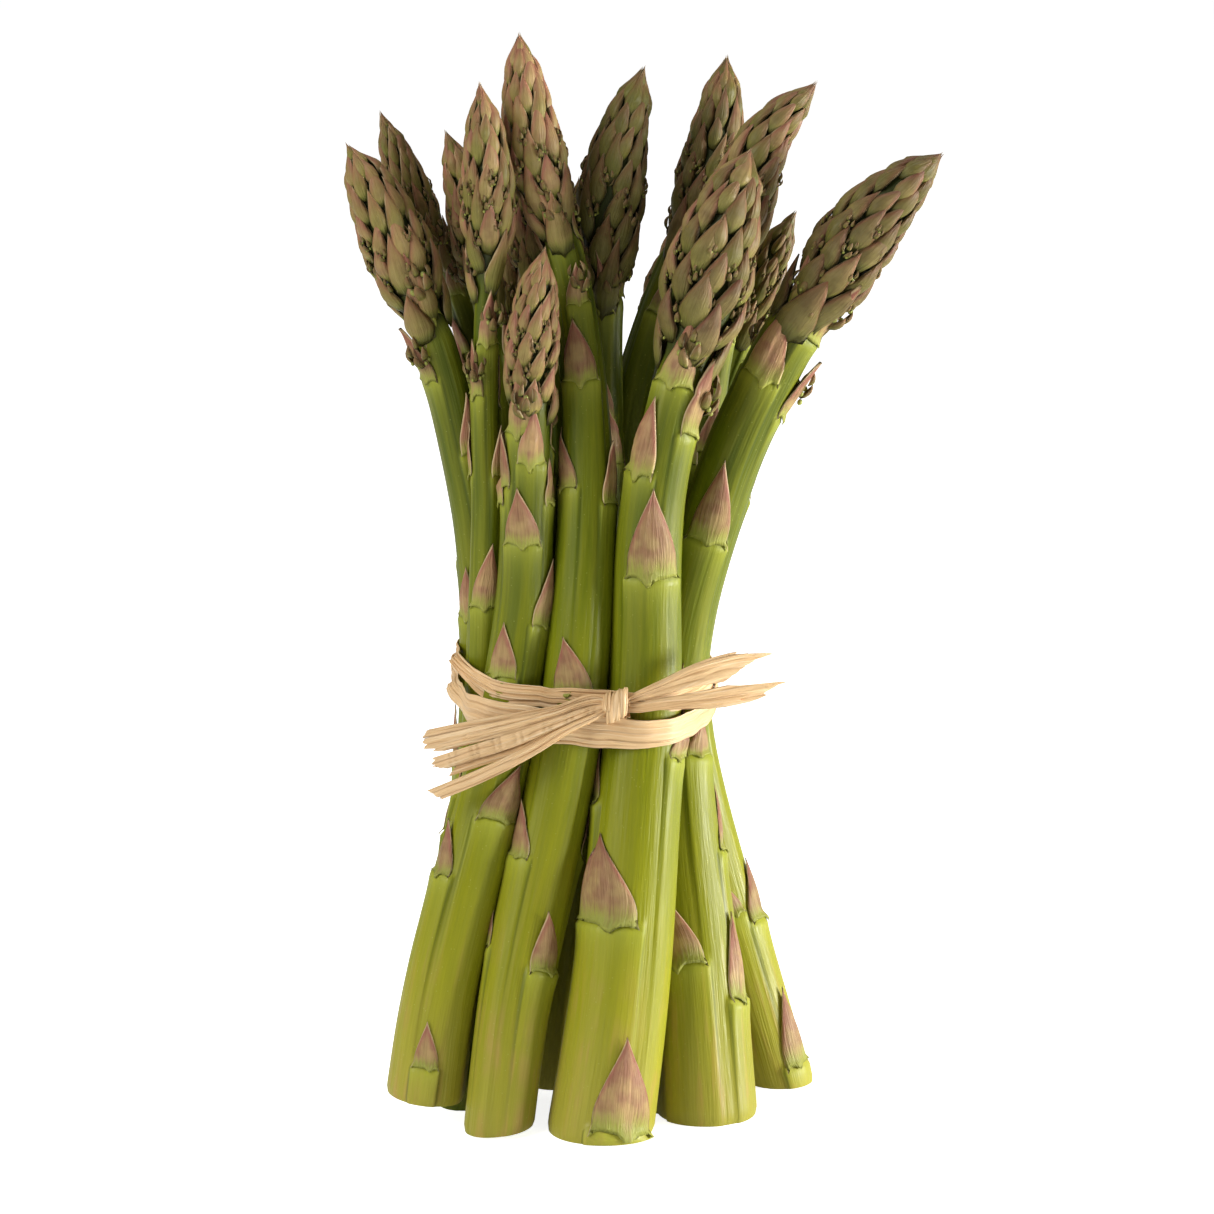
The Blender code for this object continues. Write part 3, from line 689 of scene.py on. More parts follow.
# %% Scales of the spears that show
SCALES = {
    "spear_front_left": [
        (134, -118, 3.4, 13, 1.3, -8, 1), (128, -79, 3.0, 12.5, 0.5, 0, 0), (123, -160, 2.4, 11, 0.6, 6, 0),
        (120, -20, 2.4, 9, 0.5, -10, 0), (112, -98, 3.9, 11.5, 0.3, -14, 0), (96, -36, 3.4, 13, 0.3, 12, 0),
        (85, -116, 3.3, 11, 0.3, -8, 0), (57, -62, 4.9, 11.5, 0.3, 14, 0), (44, -146, 3.4, 11, 0.7, -2, 0),
        (7, -95, 2.8, 9, 0.3, -6, 0)],
    "spear_front_tall": [
        (176, -94, 2.7, 12.5, 1.2, -10, 1), (163, -78, 2.4, 8, 0.9, 10, 2),
        (148, -100, 4.0, 12.5, 0.5, 0, 0),
        (127, -146, 3.6, 12, 0.5, -14, 0), (124, -22, 3.6, 12, 0.7, -6, 0), (87, -92, 4.5, 11, 0.3, -26, 0),
        (53, -142, 3.6, 11.5, 0.5, -10, 0), (32, -44, 4.2, 12, 1.4, -24, 0)],
    "spear_middle": [
        (128, -56, 2.7, 11, 0.6, -18, 0), (158, -87, 2.2, 12, 1.8, -21, 1),
        (146, -120, 2.6, 12, 0.6, 6, 0)],
    "spear_front_thick": [
        (148, -104, 4.5, 15, 1.0, 4, 1), (139, -22, 4.6, 16, 2.4, -22, 1), (130, -138, 4.2, 15, 0.5, 12, 0),
        (110, -80, 5.9, 18, 0.3, -14, 0), (41, -128, 9.0, 17.5, 0.3, -14, 0),
        (1, -66, 7.6, 19, 0.6, -12, 0), (74, -26, 3.4, 8, 0.3, 16, 0)],
    "spear_front_right": [
        (161, -30, 4.2, 15, 2.6, -24, 1), (150, -112, 4.3, 16, 0.7, -20, 0),
        (165, -150, 3.2, 12, 1.2, -8, 1),
        (144, -5, 3.6, 14, 2.2, -1, 1), (116, -88, 4.6, 17, 0.4, -16, 0), (71, -48, 3.6, 8, 0.3, 9, 0),
        (30, -106, 5.4, 15, 0.3, -22, 0), (22, -26, 3.8, 17, 0.6, -4, 0)],
    "spear_right": [
        (36, -83, 2.9, 8.5, 0.4, -12, 0), (3, -40, 3.9, 16, 0.5, 4, 0), (132, -60, 2.9, 11, 0.8, 0, 0)],
    "spear_left": [
        (160, -78, 4.4, 15, 1.0, 0, 1), (148, -150, 3.7, 12, 2.2, -4, 1), (132, -52, 3.0, 12, 0.5, 6, 0),
        (98, -130, 2.8, 11, 0.3, 10, 0)],
    "spear_left_slim": [
        (154, -72, 2.3, 11, 0.9, 0, 1), (144, -135, 2.0, 11, 0.6, -12, 1), (102, -90, 3.2, 13, 0.3, 20, 0),
        (128, -30, 2.2, 10, 0.4, 0, 0)],
    "spear_left_behind": [(162, -66, 2.1, 9, 1.0, 10, 1), (150, -140, 2.2, 9, 0.6, 0, 0)],
}
FILLED = 10  # how many scales follow the plant's own spiral up each stem
GOLDEN_TURN = np.radians(137.5)
FRONT = (-178.0, -2.0)  # the turns that show on a front spear, where only the rows above have scales
chance = np.random.default_rng(7)


def leaf_rows(spear, rows):
    """A spear's scales as rows: those given, and others that fill the sides that don't show."""
    given = np.array(rows, float).reshape(-1, 7)
    grown = np.arange(FILLED)
    run = (spear["neck"] + 2.0) * (1.0 - (grown / FILLED)) ** 0.75 * 0.98 + 4.0
    turn = np.degrees(wrapped(grown * GOLDEN_TURN + chance.uniform(0, 6.28)))
    radius = at_run(spear, run, "radius")
    filled = np.stack([
        run, turn, radius * chance.uniform(0.66, 0.8, FILLED), 9.0 + 0.6 * radius,
        chance.uniform(0.3, 0.6, FILLED), chance.uniform(-10, 10, FILLED),
        (run > spear["neck"] - 12.0).astype(float)], axis=1)
    if len(given) > 3:
        filled = filled[(turn < FRONT[0] + 8) | (turn > FRONT[1] - 8)]
    return np.concatenate([given, filled])


marks = {}
for name, spear in spears.items():
    rows = leaf_rows(spear, SCALES.get(name, []))
    radius = at_run(spear, rows[:, 0], "radius")
    marks[name] = {
        "run": rows[:, 0], "turn": np.radians(rows[:, 1]), "half": rows[:, 2], "length": rows[:, 3],
        "lift": rows[:, 4], "drift": np.radians(rows[:, 5]), "bud": rows[:, 6],
        "angle": np.minimum(rows[:, 2] / radius, 1.25), "height": 0.11 * radius + 0.2,
        "edge": 0.55 / radius,
    }
print("scales on the stems:", sum(len(mark["run"]) for mark in marks.values()))

# %% [markdown]
# ## The stems
#
# A stem is not round. Under every scale its flesh stands a little proud, in a band as wide as the scale,
# which runs far down before it fades, so that a stem shows two or three shallow grooves. Just under the
# scale the band swells into a small cushion. The surface is the middle line's radius plus the highest of
# these bands at each run and turn, and it starts on the plane of the cut.


# %% The surface of a stem
INNER_SPEARS = ("spear_core", "spear_back_left", "spear_back_right", "spear_front_inner")
# Each skin's tone differs at random, and the spears inside the bundle get the darkest, as painted shade
# between the spears.
skin_tones_and_inner_shade = {name: float(chance.uniform(0.0, 0.35)) for name in spear_names}  # how dark each skin is
skin_tones_and_inner_shade.update({name: 1.0 for name in INNER_SPEARS})
seeds = {name: 40.0 * (index + 1) for index, name in enumerate(spear_names)}
BAND_FADE = 60.0  # how far down a band below a scale runs before it has faded by two thirds
CUSHION_FADE = 3.2  # and the same for the cushion under the scale
SKIN_STEP = 1.15  # the distance between rows of the skin, in millimetres
CUT_RINGS = (0.0, 0.2, 0.4, 0.6, 0.8, 0.92, 1.0)  # the rings of the cut end, as shares of its radius


def stem_relief(mark, run, turn):
    """Bands under the scales: how far they stand up, how deep in a groove a point is, which the skin
    darkens as painted shade, and the cushions.
    """
    gap = np.abs(wrapped(turn[..., None] - mark["turn"]))
    below = mark["run"] - run[..., None]
    across = smooth_step(-0.5, 0.5, (mark["angle"] - gap) / mark["edge"])
    down = smooth_step(-1.5, 0.8, below) * np.exp(-np.clip(below, 0.0, None) / BAND_FADE)
    cushion = smooth_step(-1.0, 0.6, below) * np.exp(-np.clip(below, 0.0, None) / CUSHION_FADE)
    raised = (mark["height"] * across * (down + 0.55 * cushion)).max(axis=-1)
    groove = (np.exp(-(((mark["angle"] - gap) / mark["edge"]) ** 2)) * down).max(axis=-1)
    return raised, groove, (across * cushion).max(axis=-1)


def stem_radius(spear, mark, run, turn):
    """The radius of a stem's own surface. Inside the head it draws in, to leave room for the scales."""
    raised, groove, cushion = stem_relief(mark, run, turn)
    inside = smooth_step(0.0, 7.0, run - spear["neck"])
    radius = at_run(spear, run, "radius")
    return radius * (0.985 - 0.22 * inside) + raised * (1.0 - inside), groove, cushion


def cut_run(spear, turn):
    """The run at which the skin meets the flat cut, by turn: the cut is slanted to a leaning stem."""
    side = np.cos(turn)[..., None] * spear["right"][0] + np.sin(turn)[..., None] * spear["back"][0]
    reach = spear["foot"] - spear["line"][0] - side * spear["radius"][0]
    return (reach @ spear["cut"]) / (spear["ahead"][0] @ spear["cut"])


def stem_patches(name, columns):
    """The skin from the cut to the point inside the head, and the cut end's flat disc.

    Rows of the skin run from the slanted plane of the cut, and soon lie square to the middle line. The
    disc is the skin's first row drawn in to the middle, ring by ring, with the flesh a little sunken.
    """
    spear, mark = spears[name], marks[name]
    turn = np.linspace(-np.pi, np.pi, columns, endpoint=False)[None]
    start = cut_run(spear, turn)
    rows = int(spear["length"] / SKIN_STEP)
    share = np.linspace(0.0, 1.0, rows)[:, None]
    run = start * (1.0 - share) ** 8 + (spear["length"] - 1.5) * share
    turns = turn + 0.0 * run
    radius, groove, cushion = stem_radius(spear, mark, run, turns)
    radius = radius + 0.05 * np.sin(3.0 * turns + run / 17.0) + 0.04 * np.sin(5.0 * turns - run / 11.0)
    rim = np.exp(-(run - start) / 0.35)
    radius = radius - 0.3 * rim
    skin_points = round_spear(spear, run, turns, radius)
    skin_points[-1] = spear["line"][-1]
    # Past the neck this share rises above one, and the skin there, inside the head, gets painted shade.
    stem_share = run / spear["neck"]
    tone = skin_tones_and_inner_shade[name] + 0.0 * run
    skin = patch(
        skin_points, grid_quads(rows, columns, closed=True),
        np.stack([np.clip(stem_share, 0, 1.2), 1.0 - groove, tone, cushion], axis=-1),
        np.stack([radius * np.cos(turns) + seeds[name], radius * np.sin(turns), run], axis=-1),
        "asparagus skin")
    rings = np.array(CUT_RINGS)[:, None, None]
    middle = spear["foot"] + 0.0 * skin_points[:1]
    flat = middle + (skin_points[:1] - middle) * rings
    sunk = 0.35 * (1.0 - rings**4) * (0.6 + 0.4 * rings * np.sin(4.0 * turn[..., None] + 9.0 * rings))
    flat = flat - spear["cut"] * sunk * smooth_step(1.0, 0.8, rings)
    flat[-1] = skin_points[0]
    around = flat - middle
    ring_notes = np.broadcast_to(rings[..., 0], flat.shape[:2])
    end = patch(
        flat, grid_quads(len(rings), columns, closed=True),
        np.stack([ring_notes, ring_notes * 0 + 1, ring_notes * 0 + 0.5, ring_notes * 0], axis=-1),
        around + seeds[name], "asparagus cut end")
    return [skin, end]


# %% [markdown]
# ## The scales
#
# A scale is a pointed leaf laid against the stem. Its width falls from base to point along a curve that
# bulges and then draws in. Its base edge isn't straight: the corners turn down like small ears, and a
# lobe hangs in the middle. It is widest just above its foot, which is narrower still in the head.
# Front and back share their rim, so each scale is a thin closed leaf.


# %% The surface of a scale
FOOT_CLEARANCE = 0.4  # the least that a scale leaves between itself and the cut, in millimetres
CLOSING = 6.0  # over this last stretch of a spear, in millimetres, all the points draw together


def leaves(spear, mark, leaf, rows, columns):
    """Scales as a patch: a grid for each, wrapped round the stem and raised off it.

    Along the scale v goes from nought at the base to one at the point, and across it u goes from minus
    one to one. The width is a power of what is left of v, times a straight line that bulges it. At the
    base edge a small parabola lifts the sides, and three bells hang down: a lobe and two ears. The
    height off the stem is a sum: a gap that opens above the base, a belly that is highest in the middle,
    a lift that grows towards the point, a lip at the base, and a curl at the very point.
    """
    one = {key: np.asarray(value, float)[:, None, None] for key, value in leaf.items()}
    v = (np.linspace(0.0, 1.0, rows) ** 1.15)[None, :, None]
    u = np.linspace(-1.0, 1.0, columns)[None, None, :]
    outline = (1.0 - v) ** (1.35 - 0.2 * one["full"]) * (1.0 + (0.55 + 0.55 * one["full"]) * v)
    foot = one["foot"] + (1.0 - one["foot"]) * smooth_step(0.0, 0.32, v)
    width = one["half"] * foot * outline + 0.04
    hang = one["corner"] * np.abs(u) ** 2.0
    hang = hang - one["lobe"] * np.exp(-(((u - one["lobe_at"]) / 0.17) ** 2))
    hang = hang - one["ear"] * np.exp(-(((1.0 - np.abs(u)) / 0.13) ** 2))
    forward = one["length"] * (v + hang * (1.0 - v) ** 2.5)
    run = one["run"] + forward
    start_radius = at_run(spear, one["run"], "radius")
    here = np.maximum(at_run(spear, np.clip(run, 0, spear["length"]), "radius"), 0.4 * start_radius)
    turn = one["turn"] + width * u / here + one["drift"] * v**1.4
    run = np.maximum(run, cut_run(spear, turn) + FOOT_CLEARANCE)
    body, _, _ = stem_radius(spear, mark, run, turn)
    closing = np.clip((spear["length"] + 0.8 - run) / CLOSING, 0.08, 1.0) ** 0.7
    body = np.maximum(body, 0.3 * start_radius * one["kind"])
    rise = one["clear"] * smooth_step(0.0, 0.5, v) + 0.12
    rise = rise + one["belly"] * np.sin(np.pi * v**0.75) * (1.0 - u**2)
    rise = rise + one["lift"] * v**1.9 * (1.0 - 0.3 * u**2) + one["lip"] * np.exp(-v / 0.07)
    rise = rise + one["curl"] * v**6
    thick = one["thick"] * np.sqrt(np.clip(1.0 - u**4, 0, 1)) * np.clip(1.0 - v**3, 0, 1)
    thick = thick * smooth_step(0, 0.06, v)
    run, turn = np.broadcast_arrays(run, turn)
    front = round_spear(spear, run, turn, (body + rise) * closing + 0.5 * thick)
    back = round_spear(spear, run, turn, (body + rise) * closing - 0.5 * thick)
    points = np.concatenate([
        front.reshape(len(front), -1, 3), back[:, 1:-1, 1:-1].reshape(len(back), -1, 3)], axis=1)
    edge = np.clip((1.0 - np.abs(u)) * width / 2.0, 0.0, 1.0)
    look = np.stack(np.broadcast_arrays(v, edge, one["tone"], one["kind"]), axis=-1)
    look = np.broadcast_to(look, front.shape[:3] + (4,))
    grain = np.stack(np.broadcast_arrays(
        one["half"] * u * (0.3 + 0.7 * outline) + 30.0 * one["tone"], 50.0 * one["tone"],
        forward + 7.0 * one["turn"]), axis=-1)
    look, grain = (
        np.concatenate([notes.reshape(len(front), rows * columns, -1),
                        notes[:, 1:-1, 1:-1].reshape(len(front), -1, notes.shape[-1])], axis=1)
        for notes in (look, grain))
    quads, count = leaf_quads(rows, columns)
    quads = quads[None] + count * np.arange(len(front))[:, None, None]
    return patch(points, quads, look, grain, "asparagus scale")


def stem_leaves(name):
    """The scales up the stem, each with its own small differences."""
    mark = marks[name]
    count = len(mark["run"])
    leaf = {key: mark[key] for key in ("run", "turn", "half", "length", "lift", "drift")}
    leaf.update(
        foot=np.full(count, 0.86), corner=chance.uniform(0.0, 0.07, count),
        lobe=chance.uniform(0.05, 0.15, count), lobe_at=chance.uniform(-0.35, 0.35, count),
        ear=chance.uniform(0.03, 0.1, count), clear=np.full(count, 0.15),
        belly=0.25 + 0.06 * mark["half"] * (1 + mark["bud"]), lip=np.full(count, 0.28),
        curl=chance.uniform(-0.1, 0.5, count), thick=np.full(count, 0.4),
        tone=chance.uniform(0.0, 0.3, count), kind=np.zeros(count), full=np.full(count, 0.3))
    return leaves(spears[name], mark, leaf, 15, 17)


# %% [markdown]
# ## The heads
#
# In the head the scales follow the golden angle, 137.5 degrees from each to the next, as in a pine cone.
# They grow smaller towards the point, and each lies over the feet of those above it. Lower down, small
# buds push them apart.


# %% The scales of a head
HEAD_HALF = 0.54  # half the width of a head's lowest scales, over the head's radius
HEAD_LENGTH = 0.3  # their length, over the head's
HEAD_SHRINK = 0.52  # how much smaller the scales are at the tip
HEAD_COVER = 1.3  # how often the scales would cover the head if they were laid out flat
SCALE_FILL = 0.62  # a scale's area over its width times its length
# The darker ranges, for the heads at the right and in the middle of the bundle, and the lighter ones at the
# front left, are painted shade and light over each scale's own tone, which differs at random.
HEAD_TINTS_AND_SHADE = {  # how dark and how green a head's scales are, each from the least to the most
    "spear_front_right": ((0.75, 1.1), (0.2, 0.8)),
    "spear_front_thick": ((0.3, 0.9), (0.1, 0.9)),
    "spear_right": ((0.3, 0.9), (0.1, 0.9)),
    "spear_right_tall": ((0.4, 1.0), (0.3, 1.0)),
    "spear_right_small": ((0.5, 1.0), (0.6, 1.1)),
    "spear_middle": ((0.6, 1.0), (0.7, 1.1)),
    "spear_left": ((0.0, 0.2), (0.3, 1.1)),
    "spear_left_behind": ((0.2, 0.7), (0.4, 1.1)),
    "spear_front_left": ((0.0, 0.25), (0.1, 0.7)),
    "spear_front_tall": ((0.0, 0.25), (0.1, 0.8)),
}


def head_places(name):
    """Where a head's scales grow: the golden angle each time, as close together as their size asks for."""
    spear = spears[name]
    depth = spear["length"] - spear["neck"]
    run = np.arange(spear["neck"] - 2.0, spear["length"] - 2.0, 0.25)
    shrink = 1.0 - HEAD_SHRINK * np.clip((run - spear["neck"]) / depth, 0.0, 1.0)
    area = SCALE_FILL * 2.0 * HEAD_HALF * spear["head_radius"] * HEAD_LENGTH * depth * shrink**2
    grown = np.cumsum(HEAD_COVER * 2.0 * np.pi * at_run(spear, run, "radius") / area) * 0.25
    count = int(grown[-1])
    place = np.interp(np.arange(count) + 0.5, grown, run)
    turn = wrapped(np.arange(count) * GOLDEN_TURN + spear["length"])
    return np.clip((place - spear["neck"]) / depth, 0.0, 1.0), place, turn


def head_leaves(name):
    """The scales of a head: kite-shaped, bulging, and bent a little to one side at the point."""
    spear, mark = spears[name], marks[name]
    shades, greens = HEAD_TINTS_AND_SHADE.get(name, ((0.0, 0.4), (0.1, 1.0)))
    share, run, turn = head_places(name)
    count = len(run)
    size = spear["head_radius"]
    depth = spear["length"] - spear["neck"]
    shrink = 1.0 - HEAD_SHRINK * share
    length = HEAD_LENGTH * depth * shrink * chance.uniform(0.85, 1.2, count)
    length = np.minimum(length, spear["length"] - run + 0.5)
    leaf = dict(
        run=run + chance.uniform(-0.7, 0.7, count), turn=turn + chance.uniform(-0.12, 0.12, count),
        half=HEAD_HALF * size * shrink * chance.uniform(0.85, 1.15, count), length=length,
        lift=0.09 * size * chance.uniform(0.1, 1.6, count) * (1.05 - share),
        drift=chance.uniform(-0.05, 0.4, count), foot=chance.uniform(0.5, 0.75, count),
        corner=chance.uniform(0.02, 0.12, count), lobe=chance.uniform(0.0, 0.08, count),
        lobe_at=chance.uniform(-0.4, 0.4, count), ear=chance.uniform(0.0, 0.05, count),
        clear=0.15 * size * (1.0 - 0.5 * share), belly=0.18 * size * shrink,
        lip=np.full(count, 0.05), curl=chance.uniform(-0.2, 0.25, count) * (1.1 - share),
        thick=np.full(count, 0.36), tone=chance.uniform(*shades, count),
        kind=chance.uniform(*greens, count), full=chance.uniform(0.6, 1.0, count))
    return leaves(spear, mark, leaf, 10, 9)


# %% [markdown]
# ## The buds
#
# Behind a scale sits a bud: a side shoot that hasn't grown, with its own tiny scales round a cluster of
# green florets. One bud is worked out upright and one unit long, in three forms, and copies of it are
# set behind the scales, each turned to lean out from the stem.


# %% One bud, a unit long
BUD_LEAVES = 9
BUD_FLORETS = 8


def bud_form(seed):
    """A small cone of leaves by the golden angle, and round florets between them, as unit patches.

    The cone's girth is a sine along its height. Each leaf is a grid on it that falls to a point, and each
    floret is a ball drawn a little longer upwards.
    """
    luck = np.random.default_rng(seed)
    count, rows, columns = BUD_LEAVES, 6, 5
    share = np.arange(count) / count
    v = np.linspace(0.0, 1.0, rows)[None, :, None]
    u = np.linspace(-1.0, 1.0, columns)[None, None, :]
    base = (0.04 + 0.62 * share)[:, None, None]
    turn = (np.arange(count) * GOLDEN_TURN + seed)[:, None, None]
    half = (0.17 * (1.0 - 0.5 * share))[:, None, None]
    length = (0.42 * (1.0 - 0.25 * share))[:, None, None]
    outline = (1.0 - v) ** 0.9 * (0.75 + 1.2 * v)
    height = base + length * v
    girth = 0.27 * np.sin(np.pi * np.clip(height, 0.0, 1.0) ** 0.8) ** 0.7 + 0.02
    out = girth * (0.82 + 0.24 * v) + 0.05 * np.sin(np.pi * v) * (1.0 - u**2)
    angle = turn + half * u * outline / np.maximum(girth, 0.1)
    height = np.broadcast_to(height, angle.shape)
    thick = 0.03 * (1.0 - u**4) * (1.0 - v**4) * smooth_step(0.0, 0.15, v)
    sides = [
        np.stack([reach * np.cos(angle), reach * np.sin(angle), height], axis=-1)
        for reach in (out + thick, out - thick)]
    points = np.concatenate([
        sides[0].reshape(count, -1, 3), sides[1][:, 1:-1, 1:-1].reshape(count, -1, 3)], axis=1)
    look = np.stack(np.broadcast_arrays(
        v, 0.5 * (1.0 - np.abs(u)), turn * 0 + 0.6, turn * 0 + 0.9), axis=-1)
    look = np.concatenate([
        look.reshape(count, -1, 4), look[:, 1:-1, 1:-1].reshape(count, -1, 4)], axis=1)
    quads, size = leaf_quads(rows, columns)
    quads = quads[None] + size * np.arange(count)[:, None, None]
    cone = patch(points, quads, look, points * 8.0, "asparagus scale")
    balls, tall, wide = BUD_FLORETS, 5, 6
    rise = luck.uniform(0.08, 0.62, balls)
    way = np.arange(balls) * GOLDEN_TURN + 1.0
    at = np.stack([0.23 * np.cos(way), 0.23 * np.sin(way), rise], axis=1)
    up = np.linspace(0.0, np.pi, tall)[:, None]
    round_way = np.linspace(0.0, 2 * np.pi, wide, endpoint=False)[None]
    ball = np.stack(np.broadcast_arrays(
        np.sin(up) * np.cos(round_way), np.sin(up) * np.sin(round_way), -1.25 * np.cos(up)), axis=-1)
    radius = luck.uniform(0.04, 0.065, balls)[:, None, None, None]
    florets = at[:, None, None] + ball[None] * radius
    notes = np.stack(np.broadcast_arrays(
        up / np.pi, 0 * round_way + 0.5, 0 * up + 0.5, 0 * up + 1.0), axis=-1)
    notes = np.broadcast_to(notes, florets.shape[:3] + (4,))
    quads = grid_quads(tall, wide, closed=True)[None] + tall * wide * np.arange(balls)[:, None, None]
    return [cone, patch(florets, quads, notes, florets * 8.0, "asparagus bud")]


bud_forms = [bud_form(seed) for seed in (1, 2, 3)]
print("faces in one bud:", sum(len(one["quads"]) + len(one["triangles"]) for one in bud_forms[0]))


# %% [markdown]
# ### Buds in their places
#
# On the stem a bud sits behind a scale that is marked with one. In the head there is one for each of the
# lower scales, close to the core, so that it shows only where two scales part.

# %% Buds behind the scales
BUD_LENGTH = 0.13  # a bud in a head, over the head's length


def set_buds(spear, mark, run, turn, out, size, tilt, tone):
    """Copies of the bud forms, stood on the stem at each run and turn, leaning out by a tilt in radians."""
    body, _, _ = stem_radius(spear, mark, run, turn)
    place = round_spear(spear, run, turn, body + out)
    outward = np.cos(turn)[:, None] * at_run(spear, run, "right")
    outward = outward + np.sin(turn)[:, None] * at_run(spear, run, "back")
    ahead = at_run(spear, run, "ahead")
    axis = ahead * np.cos(tilt)[:, None] + outward * np.sin(tilt)[:, None]
    face = outward * np.cos(tilt)[:, None] - ahead * np.sin(tilt)[:, None]
    side = np.cross(face, axis)
    patches = []
    for form, unit in enumerate(bud_forms):
        mine = np.arange(len(run)) % len(bud_forms) == form
        for one in unit:
            local = one["points"][None] * size[mine, None, None]
            points = (
                place[mine, None] + local[..., :1] * side[mine, None]
                + local[..., 1:2] * face[mine, None] + local[..., 2:] * axis[mine, None])
            count = int(mine.sum())
            corners = np.concatenate([one["quads"], one["triangles"][:, [0, 1, 2, 2]]])
            quads = corners[None] + len(one["points"]) * np.arange(count)[:, None, None]
            look = np.tile(one["look"][None], (count, 1, 1))
            look[..., 2] = np.clip(look[..., 2] + tone[mine, None] - 0.5, 0.0, 1.0)
            grain = one["grain"][None] + 3.0 * np.arange(count)[:, None, None]
            patches.append(patch(points, quads, look, grain, one["finish"]))
    return patches


def stem_buds(name):
    """A bud behind each scale that is marked with one."""
    spear, mark = spears[name], marks[name]
    has = mark["bud"] > 0
    count = int(has.sum())
    big = np.where(mark["bud"][has] > 1, 1.35, 1.0)
    return set_buds(
        spear, mark, mark["run"][has] + 0.22 * mark["length"][has],
        mark["turn"][has] + chance.uniform(0.15, 0.35, count), np.full(count, 0.3) * big,
        0.66 * mark["length"][has] * big, chance.uniform(0.0, 0.08, count), chance.uniform(0.3, 0.7, count))


def head_buds(name):
    """Small buds between the lower scales of a head, close to its core."""
    spear, mark = spears[name], marks[name]
    share, run, turn = head_places(name)
    low = share < 0.45
    run, turn, share = run[low], turn[low], share[low]
    depth = spear["length"] - spear["neck"]
    size = BUD_LENGTH * depth * (1.0 - 0.5 * share)
    return set_buds(
        spear, mark, run + 0.11 * depth * (1 - 0.5 * share), turn + chance.uniform(0.2, 0.5, len(run)),
        np.full(len(run), 0.01 * depth), size, np.full(len(run), 0.06), chance.uniform(0.3, 0.7, len(run)))


# %% [markdown]
# ### Sixteen spears
#
# A spear is one piece, as it grew. Its skin, cut end, scales and buds are joined into one mesh, and each
# keeps its own finish.

# %% Grow the spears
SKIN_COLUMNS = {True: 108, False: 68}  # the points round a front spear's skin, and round any other's
SPEAR_FINISHES = ["asparagus skin", "asparagus scale", "asparagus bud", "asparagus cut end"]
for name in spear_names:
    patches = stem_patches(name, SKIN_COLUMNS[name.startswith("spear_front")])
    patches += [stem_leaves(name), head_leaves(name)]
    patches += stem_buds(name) + head_buds(name)
    make_piece(name.replace("spear", "asparagus"), patches, SPEAR_FINISHES, [name])

# %% [markdown]
# ## The raffia
#
# Raffia comes as flat strips torn from a palm leaf, and each has folded lengthwise as it dried. So every
# strip here is a thin surface along a line: its width is crossed by a few sharp folds that drift slowly
# as they run, and both of its faces meet along a thin edge.


# %% A folded strip along a line
def smooth_route(points, count):
    """A smooth curve through points: on each stretch, a cubic with the slopes of its neighbours."""
    points = np.asarray(points, float)
    knots = np.concatenate([[0.0], np.cumsum(np.linalg.norm(np.diff(points, axis=0), axis=1))])
    slopes = np.gradient(points, knots, axis=0)
    at = np.linspace(0.0, knots[-1], count)
    left = np.clip(np.searchsorted(knots, at) - 1, 0, len(knots) - 2)
    step = (knots[left + 1] - knots[left])[:, None]
    share = ((at - knots[left])[:, None]) / step
    return (
        (2 * share**3 - 3 * share**2 + 1) * points[left]
        + (share**3 - 2 * share**2 + share) * step * slopes[left]
        + (3 * share**2 - 2 * share**3) * points[left + 1]
        + (share**3 - share**2) * step * slopes[left + 1])


def unit(vectors):
    """Directions a unit long."""
    return vectors / np.linalg.norm(vectors, axis=-1, keepdims=True)


def folds(across, along, count, seed):
    """Lengthwise folds, from nought in a crease to one on a ridge: two saw-toothed waves that wander."""
    luck = np.random.default_rng(seed)
    height = 0.0
    for share, waves in ((0.65, count), (0.35, 2.3 * count)):
        wander = luck.uniform(0, 1) + 0.22 * np.sin(2 * np.pi * along + luck.uniform(0, 6))
        wander = wander + 0.1 * np.sin(6 * np.pi * along + luck.uniform(0, 6))
        place = 0.5 * waves * across + wander
        height = height + share * 2.0 * np.abs(place - np.floor(place + 0.5))
    return height


STRIP_COLUMNS = 25  # points across a strip
STRIP_THICKNESS = 0.28  # in millimetres


